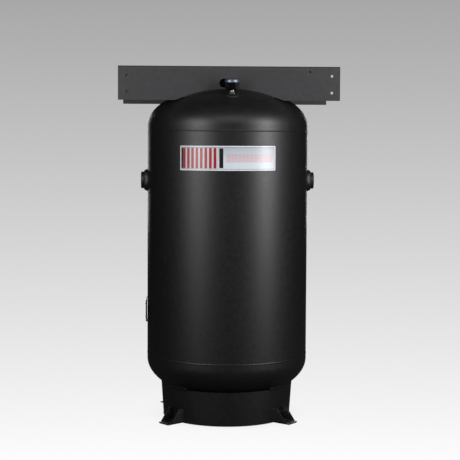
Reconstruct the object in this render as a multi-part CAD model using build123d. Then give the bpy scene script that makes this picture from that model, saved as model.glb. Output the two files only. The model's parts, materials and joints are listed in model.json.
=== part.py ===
from build123d import *
import os
from math import radians, sin, cos, sqrt

# Upright compressed-air receiver with a bent-sheet mounting platform welded on its top head.
# Millimetres. Origin on the ground at the tank's axis, +Z up, -Y is the front with the label.

# ---- tank
TANK_R = 304.8              # outside radius of the rolled shell (24 inch tank)
WALL = 4.8                  # plate of the shell and heads
HEAD_DEPTH = TANK_R / 2     # 2:1 elliptical heads
HEAD_SKIRT = 19.0           # straight flange of each head, beyond its seam
BOTTOM_SEAM_Z = 239.0
TOP_SEAM_Z = 1087.0
TOP_TANGENT_Z = TOP_SEAM_Z + HEAD_SKIRT
BOTTOM_TANGENT_Z = BOTTOM_SEAM_Z - HEAD_SKIRT
SEAM_BEAD = 5.0             # radius of the long bead's arc
SEAM_PROUD = 1.4            # how far a seam bead stands off the shell
SEAM_W = 7.0                # a ring bead's width on the tank
SEAM_CROWN_W = 2.6          # and at its crown
LONG_SEAM_DEG = 118.0       # where the shell's own seam runs, on the rear left

# ---- base ring and its four feet
RING_TOP_Z = 127.0
RING_FOOT_R = 242.0
RING_TOP_R = 250.8
RING_WALL = 4.8
RING_CUT_W = 64.0           # rear opening for the drain pipe
RING_CUT_H = 66.0
STITCH_ARC = 40.0           # degrees of weld in each stitch
STITCH_STARTS = (-53.0, 13.0, 127.0, 193.0)
STITCH_BEAD = 5.5
STITCH_IN = 0.6             # bead centre, in from the ring's edge and above it
STITCH_UP = 1.0
FOOT_EDGE_R = 312.0
FOOT_W = 62.0
FOOT_PLATE = 5.0
FOOT_H = 53.0
FOOT_FLAT = 21.0            # level top of a foot's walls, next to the ring
FOOT_SLOPE_R = 302.0         # the walls' slope ends here, on the plate
FOOT_BEND_R = 8.0
FOOT_HOLE_R = 8.0
FOOT_BOLT_R = 285.75        # bolt circle of 571.5
FOOT_TURN = 40.0             # off the X axis
FOOT_WELD_R = 3.5
FOOT_WELD_OUT = 1.5         # bead centre, out from the ring
FOOT_WELD_DROP = 2.0        # bead end, below the foot's top

# ---- platform
DECK_LEN = 821.0
DECK_TOP_Z = 1325.6
FRONT_Y = -154.0
REAR_Y = 289.0
FRONT_LIP_Z = 1199.6
REAR_LIP_Z = 1194.5
SHEET = 4.76
SHEET_BEND_R = 7.9          # outside of the bend
SADDLE_HALF = 200.0
SADDLE_Y = -FRONT_Y
SADDLE_FLANGE = 32.0
HEAD_GAP = 0.3              # between a cut sheet edge and the head
RELIEF_OUT = (202.0, FRONT_LIP_Z)
RELIEF_IN = (168.0, 1211.5)
RELIEF_BELOW = 5.0
PLATFORM_BEAD_R = 4.2
PLATFORM_BEAD_OUT = 1.5     # bead centre, off the sheet
PLATFORM_BEAD_START = 52.0
PLATFORM_BEAD_ARC = 76.0
END_HOLE_R = 5.2
END_HOLE_IN = 30.5          # from the sheet's end
END_HOLE_DROPS = (35.0, 97.0)
SMALL_HOLE_R = 3.5
SMALL_HOLES = ((299.0, 1305.6), (276.0, 1225.6))
LINE_HOLE_R = 16.3
LINE_HOLE = (-20.5, 1263.0)
PUMP_CENTRE = (-195.0, 50.0)
PUMP_SPACING = (215.9, 165.1)
PUMP_HOLE_R = 7.15
MOTOR_CENTRE = (215.0, 50.0)
MOTOR_SPACING = (190.5, 139.7)
MOTOR_SLOT_R = 5.55
MOTOR_SLOT_LEN = 60.0

# ---- side ports, one half coupling on each flank
PORT_Z = 899.0
PORT_R = 31.75
PORT_BORE_R = 22.3
PORT_IN_X = 285.0
PORT_OUT_X = 329.5
PORT_BEVEL = 1.6
PORT_WELD = ((280.0, 44.0), (303.5, 44.0), (309.0, 39.6), (314.5, 38.3), (317.5, 34.6), (318.2, PORT_R))

# ---- inlet on the top head, in front of the platform
INLET_X = 8.0
INLET_Y = -200.0
INLET_COUPLING_R = 14.0
INLET_COUPLING_Z = (1196.0, 1228.0)
INLET_BEVEL = 1.0
INLET_WELD_R = 26.5
INLET_WELD_TOP_R = 17.0
INLET_WELD_RIM = 4.5
INLET_WELD_RISE = 3.0
INLET_TILT = 23.5           # the head's slope at the inlet
NIPPLE_R = 8.55
NIPPLE_BORE_R = 6.2
NIPPLE_Z = (1206.0, 1243.0)

# ---- check valve standing on the inlet nipple
VALVE_Z = 1236.0
VALVE_SHOULDER_Z = 1243.0
VALVE_FLOOR_Z = 1246.0
VALVE_JOINT_Z = 1262.0
VALVE_TOP_Z = 1277.0
VALVE_FLATS = 45.0
VALVE_CROWN_R = 21.98       # the hexagon's corners are turned off below, from this radius
VALVE_CROWN_OUT_R = 35.98
VALVE_CROWN_H = 9.8
VALVE_CHAMBER_R = 14.5
VALVE_THREAD_R = 17.0
VALVE_SEAT_Z = 1256.0
VALVE_RING_R = 26.0
VALVE_RING_TOP_BEVEL = 4.5
VALVE_RING_LOW_BEVEL = 1.5
VALVE_INLET_R = 12.2
VALVE_INLET_Z = 1263.0
VALVE_SEAT_HOLE_R = 7.0
POPPET_TRAVEL = 3.5
POPPET_R = 10.5
POPPET_THICK = 3.0
POPPET_GAP = 0.2            # closed, to the seat
WING_R = VALVE_CHAMBER_R - 0.08
WING_W = 3.0
SPRING_R = 7.6
SPRING_WIRE_R = 0.6
SPRING_TURNS = 3.0
SPRING_FLOOR_GAP = 0.05
SPRING_DISC_GAP = 0.15

# ---- nameplate on the left flank
PLATE_Z = 405.0
BRACKET_HALF_Y = 62.0
BRACKET_HALF_Z = 44.0
BRACKET_SHEET = 2.0
BRACKET_OUT_X = -309.8
BRACKET_LEG = 16.0          # how far a leg reaches in towards the shell
BRACKET_LEAN = 4.0          # how far it spreads on the way
NAMEPLATE = (0.9, 100.0, 62.0)
NAMEPLATE_CORNER_R = 4.0
RIVET_R = 2.6
RIVET_PROUD = 1.5
RIVET_IN = 6.0              # from the plate's edges
RIVET_BEVEL = 0.7

# ---- front label
LABEL_Z = 988.5
LABEL_H = 89.0
LABEL_HALF_DEG = 34.4
LABEL_TURN = -91.9           # of its middle, from the X axis
LABEL_THICK = 0.4

# ---- drain under the bottom head, piped out to the rear
PIPE_R = 6.85
PIPE_BORE_R = 4.6
DRAIN_COUPLING_R = 11.0
DRAIN_COUPLING_Z = (58.0, 86.0)
DRAIN_WELD_R = 17.0
DRAIN_WELD_FOOT_R = 11.5
DRAIN_WELD_DROP = 5.0
DRAIN_WELD_H = 6.5
DRAIN_Z = 36.0
ELBOW_R = 9.6
ELBOW_BEND = 14.0
ELBOW_SOCKET_Y = (20.0, 34.0)
ELBOW_STOP_Y = 24.0
ELBOW_THREAD = 10.0
ELBOW_BAND_R = 12.0
COCK_Y = 254.0
COCK_STEP_Y = 262.0
COCK_CHAMBER_Y = 268.0
COCK_BALL_Y = 278.0
COCK_SEAT_END_Y = 288.0
COCK_JOINT_Y = 294.0
COCK_END_Y = 304.0
COCK_BODY_R = 13.0
COCK_CHAMBER_R = 9.2
COCK_FLATS = 24.0
BALL_R = 8.0
SEAT_RELIEF_R = 8.05
SEAT_W = 4.5
STEM_R = 3.0
STEM_BORE_R = 3.05
STEM_TOP_Z = 67.0
BOSS_R = 6.5
BOSS_TOP_Z = 54.0
GLAND_TOP_Z = 59.0
GLAND_FLATS = 12.0
LEVER_Z = 59.4
LEVER_T = 2.2
LEVER_W = 11.0
LEVER_LEN = 62.0
LEVER_NUT_FLATS = 9.0
LEVER_NUT_H = 4.4
GRIP_WALL = 1.2
GRIP_X = 20.0
TANG = (5.0, 2.0, 2.4)      # along the lever, across it, deep

OVER = 1.0                  # how far a cutter runs past the solid it cuts
NEAR = 0.1                  # tolerance when picking corners by position
STAND = (Align.CENTER, Align.CENTER, Align.MIN)
LEFT = -1
RIGHT = 1


def rod(r, low, high, x=0.0, y=0.0):
    """Upright round bar between two heights."""
    return Pos(x, y, low) * Cylinder(r, high - low, align=STAND)


def rod_x(r, low, high, y=0.0, z=0.0):
    """Round bar along X between two stations."""
    return Pos(low, y, z) * (Rot(0, 90, 0) * Cylinder(r, high - low, align=STAND))


def rod_y(r, low, high, x=0.0, z=0.0):
    """Round bar along Y between two stations."""
    return Pos(x, low, z) * (Rot(-90, 0, 0) * Cylinder(r, high - low, align=STAND))


def block(x, y, z):
    """Box between two stations on each axis."""
    size = [high - low for low, high in (x, y, z)]
    middle = [(high + low) / 2 for low, high in (x, y, z)]
    return Pos(*middle) * Box(*size)


def hex_bar(flats, height):
    """Upright hexagon bar with one flat facing the front."""
    corner_r = flats / sqrt(3)
    return extrude(RegularPolygon(corner_r, 6, rotation=0), height)


def pair(shape, plane):
    """The shape with its mirror image."""
    return shape + mirror(shape, about=plane)


def head_solid(radius, depth, straight):
    """Solid head standing on z = 0 at its seam: a straight rim, then half a flattened ball."""
    arc = EllipticalCenterArc((0, straight), radius, depth, start_angle=0, arc_size=90)
    crown = Line((0, straight + depth), (0, 0))
    floor = Line((0, 0), (radius, 0))
    rim = Line((radius, 0), (radius, straight))
    return revolve(Plane.XZ * make_face([arc, crown, floor, rim]), Axis.Z)


def top_head_outside():
    return Pos(0, 0, TOP_SEAM_Z) * head_solid(TANK_R, HEAD_DEPTH, HEAD_SKIRT)


def bottom_head_outside():
    upright = head_solid(TANK_R, HEAD_DEPTH, HEAD_SKIRT)
    return Pos(0, 0, BOTTOM_SEAM_Z) * mirror(upright, about=Plane.XY)


def head_shell():
    outside = head_solid(TANK_R, HEAD_DEPTH, HEAD_SKIRT)
    inside = head_solid(TANK_R - WALL, HEAD_DEPTH - WALL, HEAD_SKIRT)
    return outside - inside


def make_top_head():
    head = Pos(0, 0, TOP_SEAM_Z) * head_shell()
    return head - rod(INLET_COUPLING_R, *INLET_COUPLING_Z, INLET_X, INLET_Y)


def make_bottom_head():
    head = Pos(0, 0, BOTTOM_SEAM_Z) * mirror(head_shell(), about=Plane.XY)
    return head - rod(DRAIN_COUPLING_R, *DRAIN_COUPLING_Z)


def make_shell():
    outside = rod(TANK_R, BOTTOM_SEAM_Z, TOP_SEAM_Z)
    inside = rod(TANK_R - WALL, BOTTOM_SEAM_Z, TOP_SEAM_Z)
    return outside - inside - rod_x(PORT_R, -PORT_OUT_X, PORT_OUT_X, z=PORT_Z)


def ring_seam(z):
    """Round weld bead over a seam: two sloping flanks and a narrow crown."""
    foot = SEAM_W / 2
    crown = SEAM_CROWN_W / 2
    crown_r = TANK_R + SEAM_PROUD
    section = Polyline(
        (TANK_R, z - foot), (crown_r, z - crown), (crown_r, z + crown), (TANK_R, z + foot), close=True,
    )
    return revolve(Plane.XZ * make_face(section), Axis.Z)


def long_seam():
    """Straight bead down the shell between the two ring seams."""
    centre_r = TANK_R + SEAM_PROUD - SEAM_BEAD
    turn = radians(LONG_SEAM_DEG)
    low = BOTTOM_SEAM_Z + SEAM_BEAD
    high = TOP_SEAM_Z - SEAM_BEAD
    bar = rod(SEAM_BEAD, low, high, centre_r * cos(turn), centre_r * sin(turn))
    return bar - rod(TANK_R, low, high)


def ring_cone(inset):
    """Solid inside the base ring's outer face, moved in by inset."""
    return Cone(RING_FOOT_R - inset, RING_TOP_R - inset, RING_TOP_Z, align=STAND)


def make_base_ring():
    ring = ring_cone(0) - ring_cone(RING_WALL)
    half = RING_CUT_W / 2
    cut = block((-half, half), (0, RING_TOP_R + OVER), (0, RING_CUT_H - half))
    arch = rod_y(half, 0, RING_TOP_R + OVER, z=RING_CUT_H - half)
    return ring - cut - arch


def ring_stitches():
    """Fillet weld between the ring's top edge and the bottom head, in four stitches."""
    centre = Pos(RING_TOP_R - STITCH_IN, RING_TOP_Z + STITCH_UP) * Circle(STITCH_BEAD)
    solids = []
    for start in STITCH_STARTS:
        arc = revolve(Plane.XZ * centre, Axis.Z, revolution_arc=STITCH_ARC)
        solids.append(Rot(0, 0, start) * arc)
    stitches = Compound(children=solids)
    inside = ring_cone(0) + rod(RING_TOP_R - RING_WALL, 0, RING_TOP_Z + 2 * STITCH_BEAD)
    return stitches - inside - bottom_head_outside()


def foot_on_x():
    """Bent channel foot pointing along +X, open upwards, its walls sloping down to the edge."""
    half = FOOT_W / 2
    inner = half - FOOT_PLATE
    outline = Polyline(
        (-half, FOOT_H), (-half, 0), (half, 0), (half, FOOT_H),
        (inner, FOOT_H), (inner, FOOT_PLATE), (-inner, FOOT_PLATE), (-inner, FOOT_H),
        close=True,
    )
    face = make_face(outline)
    outer = face.vertices().filter_by_position(Axis.Y, -NEAR, NEAR)
    face = fillet(outer, FOOT_BEND_R)
    inner_corners = face.vertices().filter_by_position(Axis.Y, FOOT_PLATE - NEAR, FOOT_PLATE + NEAR)
    inner_corners = [v for v in inner_corners if abs(abs(v.X) - inner) < NEAR]
    face = fillet(inner_corners, FOOT_BEND_R - FOOT_PLATE)
    start_x = RING_FOOT_R - FOOT_W
    channel = Pos(start_x, 0, 0) * extrude(Plane.YZ * face, FOOT_EDGE_R - start_x)
    flat_end = RING_FOOT_R + FOOT_FLAT
    slope = make_face(Polyline(
        (flat_end, FOOT_H), (FOOT_SLOPE_R, FOOT_PLATE), (FOOT_EDGE_R + OVER, FOOT_PLATE),
        (FOOT_EDGE_R + OVER, FOOT_H + OVER), (flat_end, FOOT_H + OVER), close=True,
    ))
    wedge = extrude(Plane.XZ * slope, FOOT_W, both=True)
    hole = rod(FOOT_HOLE_R, -OVER, FOOT_PLATE + OVER, FOOT_BOLT_R)
    return channel - wedge - hole - ring_cone(0)


def foot_welds_on_x(foot):
    """Upright fillet beads down both sides of one foot."""
    seat_x = sqrt((RING_FOOT_R + FOOT_WELD_OUT) ** 2 - (FOOT_W / 2) ** 2)
    bead = rod(FOOT_WELD_R, FOOT_BEND_R, FOOT_H - FOOT_WELD_DROP, seat_x, FOOT_W / 2)
    both = pair(bead, Plane.XZ)
    return both - ring_cone(0) - foot


def sheet_channel():
    """The platform's bent sheet: deck, front skirt and a slightly deeper rear skirt."""
    outline = Polyline(
        (FRONT_Y, FRONT_LIP_Z), (FRONT_Y, DECK_TOP_Z), (REAR_Y, DECK_TOP_Z), (REAR_Y, REAR_LIP_Z),
        (REAR_Y - SHEET, REAR_LIP_Z), (REAR_Y - SHEET, DECK_TOP_Z - SHEET),
        (FRONT_Y + SHEET, DECK_TOP_Z - SHEET), (FRONT_Y + SHEET, FRONT_LIP_Z),
        close=True,
    )
    face = make_face(outline)
    outer = face.vertices().filter_by_position(Axis.Y, DECK_TOP_Z - NEAR, DECK_TOP_Z + NEAR)
    face = fillet(outer, SHEET_BEND_R)
    inside_z = DECK_TOP_Z - SHEET
    inner = face.vertices().filter_by_position(Axis.Y, inside_z - NEAR, inside_z + NEAR)
    inner = [v for v in inner if FRONT_Y + NEAR < v.X < REAR_Y - NEAR]
    face = fillet(inner, SHEET_BEND_R - SHEET)
    return extrude(Plane.YZ * face, DECK_LEN / 2, both=True)


def head_section_cut(y_low, y_high):
    """Oval bar through a sheet across the head: the head's own section at the sheet's face."""
    reach_y = SADDLE_Y - SHEET
    half_width = sqrt(TANK_R ** 2 - reach_y ** 2)
    half_height = HEAD_DEPTH * half_width / TANK_R
    oval = Pos(0, TOP_TANGENT_Z) * Ellipse(half_width + HEAD_GAP, half_height + HEAD_GAP)
    bar = extrude(Plane.XZ * oval, y_high - y_low)
    return Pos(0, y_high, 0) * bar


def hole_rows(centre, spacing):
    """Four corners of a bolt rectangle."""
    half_x = spacing[0] / 2
    half_y = spacing[1] / 2
    return [(centre[0] + i * half_x, centre[1] + j * half_y) for i in (-1, 1) for j in (-1, 1)]


def deck_slot(x, y):
    """Slot along X through the deck."""
    reach = MOTOR_SLOT_LEN / 2 - MOTOR_SLOT_R
    low = DECK_TOP_Z - 2 * SHEET
    high = DECK_TOP_Z + OVER
    middle = block((x - reach, x + reach), (y - MOTOR_SLOT_R, y + MOTOR_SLOT_R), (low, high))
    ends = [rod(MOTOR_SLOT_R, low, high, x + side * reach, y) for side in (LEFT, RIGHT)]
    return middle + ends[0] + ends[1]


def make_platform():
    sheet = sheet_channel()
    front = (FRONT_Y - OVER, FRONT_Y + SHEET + OVER)
    sheet -= head_section_cut(*front)
    out_x, out_z = RELIEF_OUT
    in_x, in_z = RELIEF_IN
    below_z = out_z - RELIEF_BELOW
    relief = make_face(Polyline(
        (-out_x, below_z), (-out_x, out_z), (-in_x, in_z), (in_x, in_z), (out_x, out_z), (out_x, below_z),
        close=True,
    ))
    sheet -= Pos(0, front[1], 0) * extrude(Plane.XZ * relief, front[1] - front[0])
    for side in (LEFT, RIGHT):
        for drop in END_HOLE_DROPS:
            x = side * (DECK_LEN / 2 - END_HOLE_IN)
            sheet -= rod_y(END_HOLE_R, *front, x, DECK_TOP_Z - drop)
    for x, z in SMALL_HOLES:
        sheet -= rod_y(SMALL_HOLE_R, *front, x, z)
    sheet -= rod_y(LINE_HOLE_R, *front, *LINE_HOLE)
    for x, y in hole_rows(PUMP_CENTRE, PUMP_SPACING):
        sheet -= rod(PUMP_HOLE_R, DECK_TOP_Z - 2 * SHEET, DECK_TOP_Z + OVER, x, y)
    for x, y in hole_rows(MOTOR_CENTRE, MOTOR_SPACING):
        sheet -= deck_slot(x, y)
    return sheet


def make_saddle():
    """Second support under the deck, behind the head's crown: a web with a flange at its top."""
    top = DECK_TOP_Z - SHEET
    low = FRONT_LIP_Z
    web_in = SADDLE_Y - SHEET
    flange_out = SADDLE_Y + SADDLE_FLANGE
    under = top - SHEET
    outline = Polyline(
        (web_in, low), (web_in, top), (flange_out, top),
        (flange_out, under), (SADDLE_Y, under), (SADDLE_Y, low),
        close=True,
    )
    face = make_face(outline)
    corner = [v for v in face.vertices() if abs(v.X - web_in) < NEAR and abs(v.Y - top) < NEAR]
    face = fillet(corner, SHEET_BEND_R)
    inner = [v for v in face.vertices() if abs(v.X - SADDLE_Y) < NEAR and abs(v.Y - under) < NEAR]
    face = fillet(inner, SHEET_BEND_R - SHEET)
    web = extrude(Plane.YZ * face, SADDLE_HALF, both=True)
    return web - head_section_cut(web_in - OVER, SADDLE_Y + OVER)


def platform_beads():
    """Fillet welds along the head, on the front of the front skirt and the rear of the saddle."""
    offset_y = SADDLE_Y + PLATFORM_BEAD_OUT
    half_width = sqrt(TANK_R ** 2 - offset_y ** 2)
    scale = half_width / TANK_R
    path = EllipticalCenterArc(
        (0, 0), half_width, HEAD_DEPTH * scale, start_angle=PLATFORM_BEAD_START, arc_size=PLATFORM_BEAD_ARC,
    )
    front_path = Pos(0, -offset_y, TOP_TANGENT_Z) * (Plane.XZ * path)
    start = front_path @ 0
    heading = front_path % 0
    profile = Plane(origin=start, z_dir=heading) * Circle(PLATFORM_BEAD_R)
    bead = sweep(profile, path=front_path)
    sheet_slab = block((-TANK_R, TANK_R), (FRONT_Y, -FRONT_Y), (FRONT_LIP_Z, DECK_TOP_Z))
    front = bead - sheet_slab - top_head_outside()
    return pair(front, Plane.XZ)


def make_port_coupling():
    body = rod_x(PORT_R, PORT_IN_X, PORT_OUT_X, z=PORT_Z)
    body = chamfer(body.edges().group_by(Axis.X)[-1], PORT_BEVEL)
    return body - rod_x(PORT_BORE_R, PORT_IN_X, PORT_OUT_X, z=PORT_Z)


def make_port_weld():
    """Built-up fillet round a side coupling, a turned profile cut back to the shell."""
    points = [(x, r) for x, r in PORT_WELD] + [(PORT_WELD[0][0], PORT_R)]
    ring = revolve(make_face(Polyline(*points, close=True)), Axis.X)
    ring = Pos(0, 0, PORT_Z) * ring
    return ring - rod(TANK_R, PORT_Z - 2 * PORT_R, PORT_Z + 2 * PORT_R)


def make_inlet_coupling():
    body = rod(INLET_COUPLING_R, *INLET_COUPLING_Z, INLET_X, INLET_Y)
    body = chamfer(body.edges().group_by(Axis.Z)[-1], INLET_BEVEL)
    return body - rod(NIPPLE_R, *INLET_COUPLING_Z, INLET_X, INLET_Y)


def make_inlet_weld():
    """Low flat-topped mound of weld round the inlet coupling."""
    rim = Cylinder(INLET_WELD_R, 2 * INLET_WELD_RIM)
    slope = Cone(INLET_WELD_R, INLET_WELD_TOP_R, INLET_WELD_RISE, align=STAND)
    pad = rim + Pos(0, 0, INLET_WELD_RIM) * slope
    surface_z = TOP_TANGENT_Z + HEAD_DEPTH * sqrt(1 - (INLET_X ** 2 + INLET_Y ** 2) / TANK_R ** 2)
    pad = Pos(INLET_X, INLET_Y, surface_z) * (Rot(INLET_TILT, 0, 0) * pad)
    core = rod(INLET_COUPLING_R, TOP_TANGENT_Z, DECK_TOP_Z, INLET_X, INLET_Y)
    return pad - core - top_head_outside()


def make_inlet_nipple():
    pipe = rod(NIPPLE_R, *NIPPLE_Z, INLET_X, INLET_Y)
    return pipe - rod(NIPPLE_BORE_R, *NIPPLE_Z, INLET_X, INLET_Y)


def make_valve_body():
    """Hexagon cup: nipple thread below, spring chamber above, thread for the seat ring on top."""
    height = VALVE_JOINT_Z - VALVE_Z
    body = Pos(INLET_X, INLET_Y, VALVE_Z) * hex_bar(VALVE_FLATS, height)
    crown = Cone(VALVE_CROWN_R, VALVE_CROWN_OUT_R, VALVE_CROWN_H, align=STAND)
    crown += rod(VALVE_CROWN_OUT_R, VALVE_CROWN_H, height)
    body = body & (Pos(INLET_X, INLET_Y, VALVE_Z) * crown)
    body -= rod(NIPPLE_R, VALVE_Z, VALVE_SHOULDER_Z, INLET_X, INLET_Y)
    body -= rod(NIPPLE_BORE_R, VALVE_Z, VALVE_FLOOR_Z, INLET_X, INLET_Y)
    body -= rod(VALVE_CHAMBER_R, VALVE_FLOOR_Z, VALVE_JOINT_Z, INLET_X, INLET_Y)
    body -= rod(VALVE_THREAD_R, VALVE_SEAT_Z, VALVE_JOINT_Z, INLET_X, INLET_Y)
    return body


def make_valve_cap():
    """Polished round collar with the seat on its spigot and the inlet thread on top."""
    collar = Cylinder(VALVE_RING_R, VALVE_TOP_Z - VALVE_JOINT_Z, align=STAND)
    top_edges = collar.edges().group_by(Axis.Z)[-1]
    collar = chamfer(top_edges, VALVE_RING_TOP_BEVEL)
    collar = chamfer(collar.edges().group_by(Axis.Z)[0], VALVE_RING_LOW_BEVEL)
    cap = Pos(INLET_X, INLET_Y, VALVE_JOINT_Z) * collar
    cap += rod(VALVE_THREAD_R, VALVE_SEAT_Z, VALVE_JOINT_Z, INLET_X, INLET_Y)
    cap -= rod(VALVE_INLET_R, VALVE_INLET_Z, VALVE_TOP_Z, INLET_X, INLET_Y)
    cap -= rod(VALVE_SEAT_HOLE_R, VALVE_SEAT_Z, VALVE_INLET_Z, INLET_X, INLET_Y)
    return cap


def make_poppet():
    """Valve disc with four wings that run in the chamber."""
    top = VALVE_SEAT_Z - POPPET_GAP
    disc = rod(POPPET_R, top - POPPET_THICK, top)
    for turn in (0, 90):
        wing = block((-WING_R - OVER, WING_R + OVER), (-WING_W / 2, WING_W / 2), (top - POPPET_THICK, top))
        disc += Rot(0, 0, turn) * wing
    disc = disc & rod(WING_R, top - POPPET_THICK, top)
    return Pos(INLET_X, INLET_Y, 0) * disc


def make_valve_spring():
    """Light spring under the disc: one even helix of round wire."""
    low = VALVE_FLOOR_Z + SPRING_WIRE_R + SPRING_FLOOR_GAP
    high = VALVE_SEAT_Z - POPPET_GAP - POPPET_THICK - SPRING_WIRE_R - SPRING_DISC_GAP
    path = Helix((high - low) / SPRING_TURNS, high - low, SPRING_R)
    section = Plane(origin=path @ 0, z_dir=path % 0) * Circle(SPRING_WIRE_R)
    return Pos(INLET_X, INLET_Y, low) * sweep(section, path=path, is_frenet=True)


def make_bracket():
    """Hat-shaped bracket: a flat face with two sloping legs cut to the shell."""
    out_x = BRACKET_OUT_X
    leg_x = out_x + BRACKET_LEG
    face_half = BRACKET_HALF_Z - BRACKET_LEAN
    foot_half = BRACKET_HALF_Z + OVER
    outer = [(out_x, -face_half), (leg_x, -foot_half), (leg_x, foot_half), (out_x, face_half)]
    inner_x = out_x + BRACKET_SHEET
    inner_half = face_half - BRACKET_SHEET
    past_x = leg_x + OVER
    inner_foot = BRACKET_HALF_Z
    hollow = [(inner_x, -inner_half), (past_x, -inner_foot), (past_x, inner_foot), (inner_x, inner_half)]
    hat = make_face(Polyline(*outer, close=True)) - make_face(Polyline(*hollow, close=True))
    bracket = extrude(Plane.XZ * hat, BRACKET_HALF_Y, both=True)
    bracket = Pos(0, 0, PLATE_Z) * bracket
    return bracket - rod(TANK_R, PLATE_Z - BRACKET_HALF_Y, PLATE_Z + BRACKET_HALF_Y)


def make_nameplate():
    thick, wide, high = NAMEPLATE
    plate = Pos(BRACKET_OUT_X - thick / 2, 0, PLATE_Z) * Box(thick, wide, high)
    return fillet(plate.edges().filter_by(Axis.X), NAMEPLATE_CORNER_R)


def make_rivets():
    """Four low round heads at the nameplate's corners."""
    thick, wide, high = NAMEPLATE
    face_x = BRACKET_OUT_X - thick
    heads = []
    for i in (-1, 1):
        for j in (-1, 1):
            y = i * (wide / 2 - RIVET_IN)
            z = PLATE_Z + j * (high / 2 - RIVET_IN)
            head = rod_x(RIVET_R, face_x - RIVET_PROUD, face_x, y, z)
            heads.append(chamfer(head.edges().group_by(Axis.X)[0], RIVET_BEVEL))
    return Compound(children=heads)


def make_label():
    """Thin printed label wrapped on the front of the shell."""
    flat = Rectangle(LABEL_THICK, LABEL_H)
    section = Plane.XZ * (Pos(TANK_R + LABEL_THICK / 2, LABEL_Z) * flat)
    wrap = revolve(section, Axis.Z, revolution_arc=2 * LABEL_HALF_DEG)
    return Rot(0, 0, LABEL_TURN - LABEL_HALF_DEG) * wrap


def make_drain_coupling():
    return rod(DRAIN_COUPLING_R, *DRAIN_COUPLING_Z) - rod(PIPE_R, *DRAIN_COUPLING_Z)


def make_drain_weld():
    """Fillet round the drain coupling, under the bottom head."""
    apex_z = BOTTOM_TANGENT_Z - HEAD_DEPTH
    mound = Cone(DRAIN_WELD_FOOT_R, DRAIN_WELD_R, DRAIN_WELD_H, align=STAND)
    mound = Pos(0, 0, apex_z - DRAIN_WELD_DROP) * mound
    return mound - rod(DRAIN_COUPLING_R, *DRAIN_COUPLING_Z) - bottom_head_outside()


def elbow_bar(r):
    """Bar of one radius along the elbow's centre line."""
    start_z = DRAIN_COUPLING_Z[0]
    down = rod(r, DRAIN_Z + ELBOW_BEND, start_z)
    disc = Plane.XY * (Pos(0, -ELBOW_BEND) * Circle(r))
    turn = revolve(disc, Axis.X, revolution_arc=90)
    turn = Pos(0, ELBOW_BEND, DRAIN_Z + ELBOW_BEND) * turn
    out = rod_y(r, ELBOW_BEND, ELBOW_SOCKET_Y[0], z=DRAIN_Z)
    return down + turn + out


def make_elbow():
    """Street elbow: male end in the tank's drain coupling, female end to the rear."""
    male_top = DRAIN_COUPLING_Z[0] + ELBOW_THREAD
    body = elbow_bar(ELBOW_R) + rod_y(ELBOW_BAND_R, *ELBOW_SOCKET_Y, z=DRAIN_Z)
    body += rod(PIPE_R, DRAIN_COUPLING_Z[0], male_top)
    body -= elbow_bar(PIPE_BORE_R)
    body -= rod(PIPE_BORE_R, DRAIN_COUPLING_Z[0], male_top)
    body -= rod_y(PIPE_R, ELBOW_STOP_Y, ELBOW_SOCKET_Y[1], z=DRAIN_Z)
    return body - rod_y(PIPE_BORE_R, ELBOW_SOCKET_Y[0], ELBOW_SOCKET_Y[1], z=DRAIN_Z)


def make_drain_pipe():
    outside = rod_y(PIPE_R, ELBOW_STOP_Y, COCK_STEP_Y, z=DRAIN_Z)
    return outside - rod_y(PIPE_BORE_R, ELBOW_STOP_Y, COCK_STEP_Y, z=DRAIN_Z)


def hex_along_y(flats, low, high):
    """Hexagon bar along the drain pipe's axis."""
    bar = Rot(-90, 0, 0) * hex_bar(flats, high - low)
    return Pos(0, low, DRAIN_Z) * bar


def make_cock_body():
    """Ball cock's front half: pipe thread, ball chamber and the boss for the stem."""
    body = rod_y(COCK_BODY_R, COCK_STEP_Y, COCK_JOINT_Y, z=DRAIN_Z)
    body += hex_along_y(COCK_FLATS, COCK_Y, COCK_STEP_Y)
    body += rod(BOSS_R, DRAIN_Z, BOSS_TOP_Z, 0, COCK_BALL_Y)
    body -= rod_y(PIPE_R, COCK_Y, COCK_STEP_Y, z=DRAIN_Z)
    body -= rod_y(PIPE_BORE_R, COCK_Y, COCK_CHAMBER_Y, z=DRAIN_Z)
    body -= rod_y(COCK_CHAMBER_R, COCK_CHAMBER_Y, COCK_JOINT_Y, z=DRAIN_Z)
    return body - rod(STEM_BORE_R, DRAIN_Z, BOSS_TOP_Z, 0, COCK_BALL_Y)


def make_cock_tail():
    """Rear half: spigot that holds the seats, wrench hexagon and the outlet thread."""
    tail = rod_y(COCK_CHAMBER_R, COCK_SEAT_END_Y, COCK_JOINT_Y, z=DRAIN_Z)
    tail += hex_along_y(COCK_FLATS, COCK_JOINT_Y, COCK_END_Y)
    tail -= rod_y(PIPE_BORE_R, COCK_SEAT_END_Y, COCK_JOINT_Y, z=DRAIN_Z)
    return tail - rod_y(PIPE_R, COCK_JOINT_Y, COCK_END_Y, z=DRAIN_Z)


def ball_at(r):
    return Pos(0, COCK_BALL_Y, DRAIN_Z) * Sphere(r)


def make_cock_seats():
    """Two soft rings, hollowed to the ball."""
    rings = []
    for low in (COCK_CHAMBER_Y, COCK_SEAT_END_Y - SEAT_W):
        ring = rod_y(COCK_CHAMBER_R, low, low + SEAT_W, z=DRAIN_Z)
        rings.append(ring - rod_y(PIPE_BORE_R, low, low + SEAT_W, z=DRAIN_Z) - ball_at(SEAT_RELIEF_R))
    return Compound(children=rings)


def tang_block():
    """The stem's flat tip, which drops into the ball's slot."""
    along, across, deep = TANG
    top = DRAIN_Z + BALL_R
    return block(
        (-along / 2, along / 2),
        (COCK_BALL_Y - across / 2, COCK_BALL_Y + across / 2),
        (top - deep, top),
    )


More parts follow.
